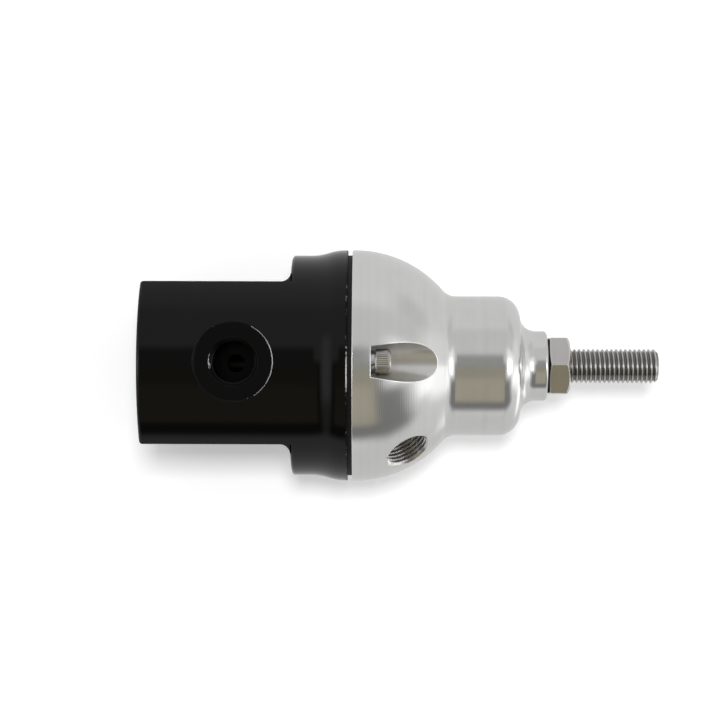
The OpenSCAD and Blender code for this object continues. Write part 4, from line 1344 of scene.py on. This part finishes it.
class REGULATOR_OT_studio(bpy.types.Operator):
    """Builds the floor, the backdrop, the light tent, the lamps and the camera"""

    bl_idname = "regulator.studio"
    bl_label = "Studio"

    def execute(self, context):
        scene = context.scene
        settings = scene.regulator_studio
        scene.view_settings.view_transform = "Standard"
        self.sheet("floor", Matrix.Identity(4), settings.floor_glow, FLOOR_SLANTS)
        behind = Matrix.Translation((0, HIGH["lower_body"].y + BACKDROP_GAP, 0))
        upright = Matrix.Rotation(math.radians(90), 4, "X")
        self.sheet("backdrop", behind @ upright, settings.backdrop_glow, BACKDROP_SLANTS)
        self.tent(scene, settings)
        self.lamps(scene)
        self.camera(scene, settings)
        return {"FINISHED"}

    def sheet(self, name, matrix, glow, slants):
        """Large sheet of paper that only the camera sees"""
        half = SHEET_SIZE / 2
        corners = [(-half, -half, 0), (half, -half, 0), (half, half, 0), (-half, half, 0)]
        mesh = bpy.data.meshes.new(name)
        mesh.from_pydata(corners, [], [[0, 1, 2, 3]])
        mesh.transform(matrix)
        mesh.materials.append(self.paper(name + " paper", glow, slants))
        made = bpy.data.objects.new(name, mesh)
        bpy.context.scene.collection.objects.link(made)
        made.visible_diffuse = False
        made.visible_glossy = False
        made.visible_transmission = False
        made.visible_shadow = False

    def paper(self, name, glow, slants):
        """White paper that keeps the part's shadow, and clears between two slants and from behind"""
        white = (0.9, 0.9, 0.9)
        fibre_level = 0.985
        material = bpy.data.materials.new(name)
        material.use_nodes = True
        tree = material.node_tree
        tree.nodes.clear()
        path = add(tree, "ShaderNodeLightPath").outputs
        seen = maths(tree, "MAXIMUM", path["Is Camera Ray"], path["Is Glossy Ray"])
        seen = maths(tree, "MAXIMUM", seen, path["Is Transmission Ray"])
        grain = add(tree, "ShaderNodeTexNoise", {"Scale": 900.0, "Detail": 2.0})
        fibre = blend_colour(tree, grain.outputs["Fac"], white, scaled(white, fibre_level))
        matte = add(tree, "ShaderNodeBsdfDiffuse", {"Color": fibre})
        light = add(tree, "ShaderNodeEmission", {"Strength": maths(tree, "MULTIPLY", seen, glow)})
        both = add(tree, "ShaderNodeAddShader", {0: matte.outputs[0], 1: light.outputs[0]})
        slant = add(tree, "ShaderNodeLayerWeight", {"Blend": 0.5}).outputs["Facing"]
        unseen = maths(tree, "MULTIPLY", ramp(tree, slant, *slants, form="SMOOTHSTEP"), path["Is Camera Ray"])
        behind = add(tree, "ShaderNodeNewGeometry").outputs["Backfacing"]
        unseen = maths(tree, "MAXIMUM", unseen, behind)
        clear = add(tree, "ShaderNodeBsdfTransparent")
        sheet = add(tree, "ShaderNodeMixShader", {0: unseen, 1: both.outputs[0], 2: clear.outputs[0]})
        add(tree, "ShaderNodeOutputMaterial", {"Surface": sheet.outputs[0]})
        return material

    def window(self, tree, turn, height, turns, heights, blur):
        """Mask of a patch of the surroundings, in degrees round the axis and above the middle"""
        masks = [
            ramp(tree, value, edge - blur * way, edge + blur * way, form="SMOOTHSTEP")
            for value, edges in ((turn, turns), (height, heights))
            for edge, way in zip(edges, (1, -1))
        ]
        result = masks[0]
        for mask in masks[1:]:
            result = maths(tree, "MULTIPLY", result, mask)
        return result

    def tent(self, scene, settings):
        """White light tent, open at the front, that shows in reflections"""
        world = bpy.data.worlds.new("light tent")
        world.use_nodes = True
        scene.world = world
        tree = world.node_tree
        tree.nodes.clear()
        place = add(tree, "ShaderNodeTexCoord").outputs["Generated"]
        parts = add(tree, "ShaderNodeSeparateXYZ", {0: place}).outputs
        back = maths(tree, "MULTIPLY", parts["Y"], -1.0)
        turn = maths(tree, "DEGREES", maths(tree, "ARCTAN2", parts["X"], back))
        height = maths(tree, "DEGREES", maths(tree, "ARCSINE", parts["Z"]))
        # Name, span round the axis, span of heights, blur, and level or tint. A patch covers those before it,
        # and upper and lower are as the camera sees them.
        patches = (
            ("dim side", (-61, -3), (-60, 60), 6, settings.dim),
            ("lower wall", (90, 200), (-42, 42), 8, 0.68),
            ("upper corner", (-95, -62), (32, 62), 9, 0.6),
            ("upper end", (-200, 0), (66, 100), 8, 0.86),
            ("lower end", (0, 200), (68, 100), 7, 1.42),
            ("bright end", (28, 66), (60, 100), 7, 1.55),
            ("far end", (142, 200), (40, 100), 8, 1.6),
            ("body end", (-200, 200), (-100, -68), 8, 1.2),
            ("body corner", (44, 84), (-48, -20), 8, 0.54),
            ("stud wall", (-30, 24), (29, 76), 7, 1.05),
            ("body wall", (-30, 38), (-76, -29), 7, 1.05),
            ("stud opening", (26, 85), (18, 49), 9, 0.13),
            ("stud lamp", (-10, 16), (38, 60), 5, 3.5),
            ("body lamp", (-10, 16), (-60, -38), 5, 3.5),
            ("front edge", (-2, 80), (-26, 26), 6, settings.dark),
            ("card", (4, 64), (-19, 19), 4, settings.card),
            ("shaded card", (0, 22), (-19, 19), 6, scaled(settings.card, 0.72)),
            ("camera", (-16, 4), (-13, 13), 5, 0.24),
        )
        light = (settings.tent,) * 3
        for name, turns, heights, blur, shade in patches:
            tint = (shade,) * 3 if isinstance(shade, float) else shade
            light = blend_colour(tree, self.window(tree, turn, height, turns, heights, blur), light, tint)
            light.node.label = name
        white = (1, 1, 1, 1)
        path = add(tree, "ShaderNodeLightPath").outputs
        plain = add(tree, "ShaderNodeBackground", {"Color": white, "Strength": settings.ambient}).outputs[0]
        mirrored = add(tree, "ShaderNodeBackground", {"Color": light}).outputs[0]
        seen = add(tree, "ShaderNodeBackground", {"Color": white}).outputs[0]
        lit = add(tree, "ShaderNodeMixShader", {0: path["Is Glossy Ray"], 1: plain, 2: mirrored}).outputs[0]
        both = add(tree, "ShaderNodeMixShader", {0: path["Is Camera Ray"], 1: lit, 2: seen}).outputs[0]
        add(tree, "ShaderNodeOutputWorld", {"Surface": both})

    def lamps(self, scene):
        """Small key lamp beside the camera, and a soft fill at the stud's end"""
        middle = Vector((0, 0, (CAD_BOX[0][2] + CAD_BOX[1][2]) / 2))
        for name, offset, size, power in (
            ("key", (-0.08, -0.8, 0.0), 0.12, 3.2),
            ("fill", (-0.09, -0.14, 0.75), 0.3, 1.8),
        ):
            lamp = bpy.data.lights.new(name, "AREA")
            lamp.size = size
            lamp.energy = power
            made = bpy.data.objects.new(name, lamp)
            made.location = middle + Vector(offset)
            made.rotation_mode = "QUATERNION"
            made.rotation_quaternion = Vector(offset).to_track_quat("Z", "Y")
            made.visible_glossy = False
            made.visible_camera = False
            scene.collection.objects.link(made)

    def camera(self, scene, settings):
        """Looks across the standing part, rolled so that its axis lies along the frame"""
        sight = Matrix.Rotation(settings.turn, 4, "Z") @ Vector((0, 1, 0))
        right = Matrix.Rotation(settings.roll, 4, sight) @ Vector((0, 0, 1))
        up = (-sight).cross(right)
        side = Matrix.Rotation(settings.turn, 4, "Z") @ Vector((settings.aim_side, 0, 0))
        place = side + Vector((0, 0, settings.aim_height)) - sight * settings.distance
        view = bpy.data.cameras.new("camera")
        view.lens = settings.lens
        view.sensor_width = SENSOR_WIDTH
        view.shift_x = settings.frame_shift
        view.clip_start = CLIP_START
        view.clip_end = CLIP_END
        made = bpy.data.objects.new("camera", view)
        axes = Matrix((right, up, -sight)).transposed().to_4x4()
        made.matrix_world = Matrix.Translation(place) @ axes
        scene.collection.objects.link(made)
        scene.camera = made


OPERATORS = (
    REGULATOR_OT_lower_body,
    REGULATOR_OT_spring_bonnet,
    REGULATOR_OT_bonnet_screws,
    REGULATOR_OT_adjusting_stud,
    REGULATOR_OT_jam_nut,
    REGULATOR_OT_main_spring,
    REGULATOR_OT_diaphragm,
    REGULATOR_OT_inner_works,
    REGULATOR_OT_studio,
)


class REGULATOR_PT_panel(bpy.types.Panel):
    """Lists the regulator's pieces and settings"""

    bl_idname = "REGULATOR_PT_panel"
    bl_label = "Fuel Pressure Regulator"
    bl_space_type = "VIEW_3D"
    bl_region_type = "UI"
    bl_category = "Regulator"

    def draw(self, context):
        for operator in OPERATORS:
            self.layout.operator(operator.bl_idname)
        for name, group in GROUPS.items():
            box = self.layout.box()
            box.label(text=group.__doc__)
            for setting in group.__annotations__:
                box.prop(getattr(context.scene, name), setting)


def register():
    for name, group in GROUPS.items():
        bpy.utils.register_class(group)
        setattr(bpy.types.Scene, name, PointerProperty(type=group))
    for made in (*OPERATORS, REGULATOR_PT_panel):
        bpy.utils.register_class(made)


def unregister():
    for made in (REGULATOR_PT_panel, *reversed(OPERATORS)):
        bpy.utils.unregister_class(made)
    for name, group in GROUPS.items():
        delattr(bpy.types.Scene, name)
        bpy.utils.unregister_class(group)


def main():
    register()
    bpy.ops.regulator.lower_body()
    bpy.ops.regulator.spring_bonnet()
    bpy.ops.regulator.bonnet_screws()
    bpy.ops.regulator.adjusting_stud()
    bpy.ops.regulator.jam_nut()
    bpy.ops.regulator.main_spring()
    bpy.ops.regulator.diaphragm()
    bpy.ops.regulator.inner_works()
    bpy.ops.regulator.studio()


if __name__ == "__main__":
    main()
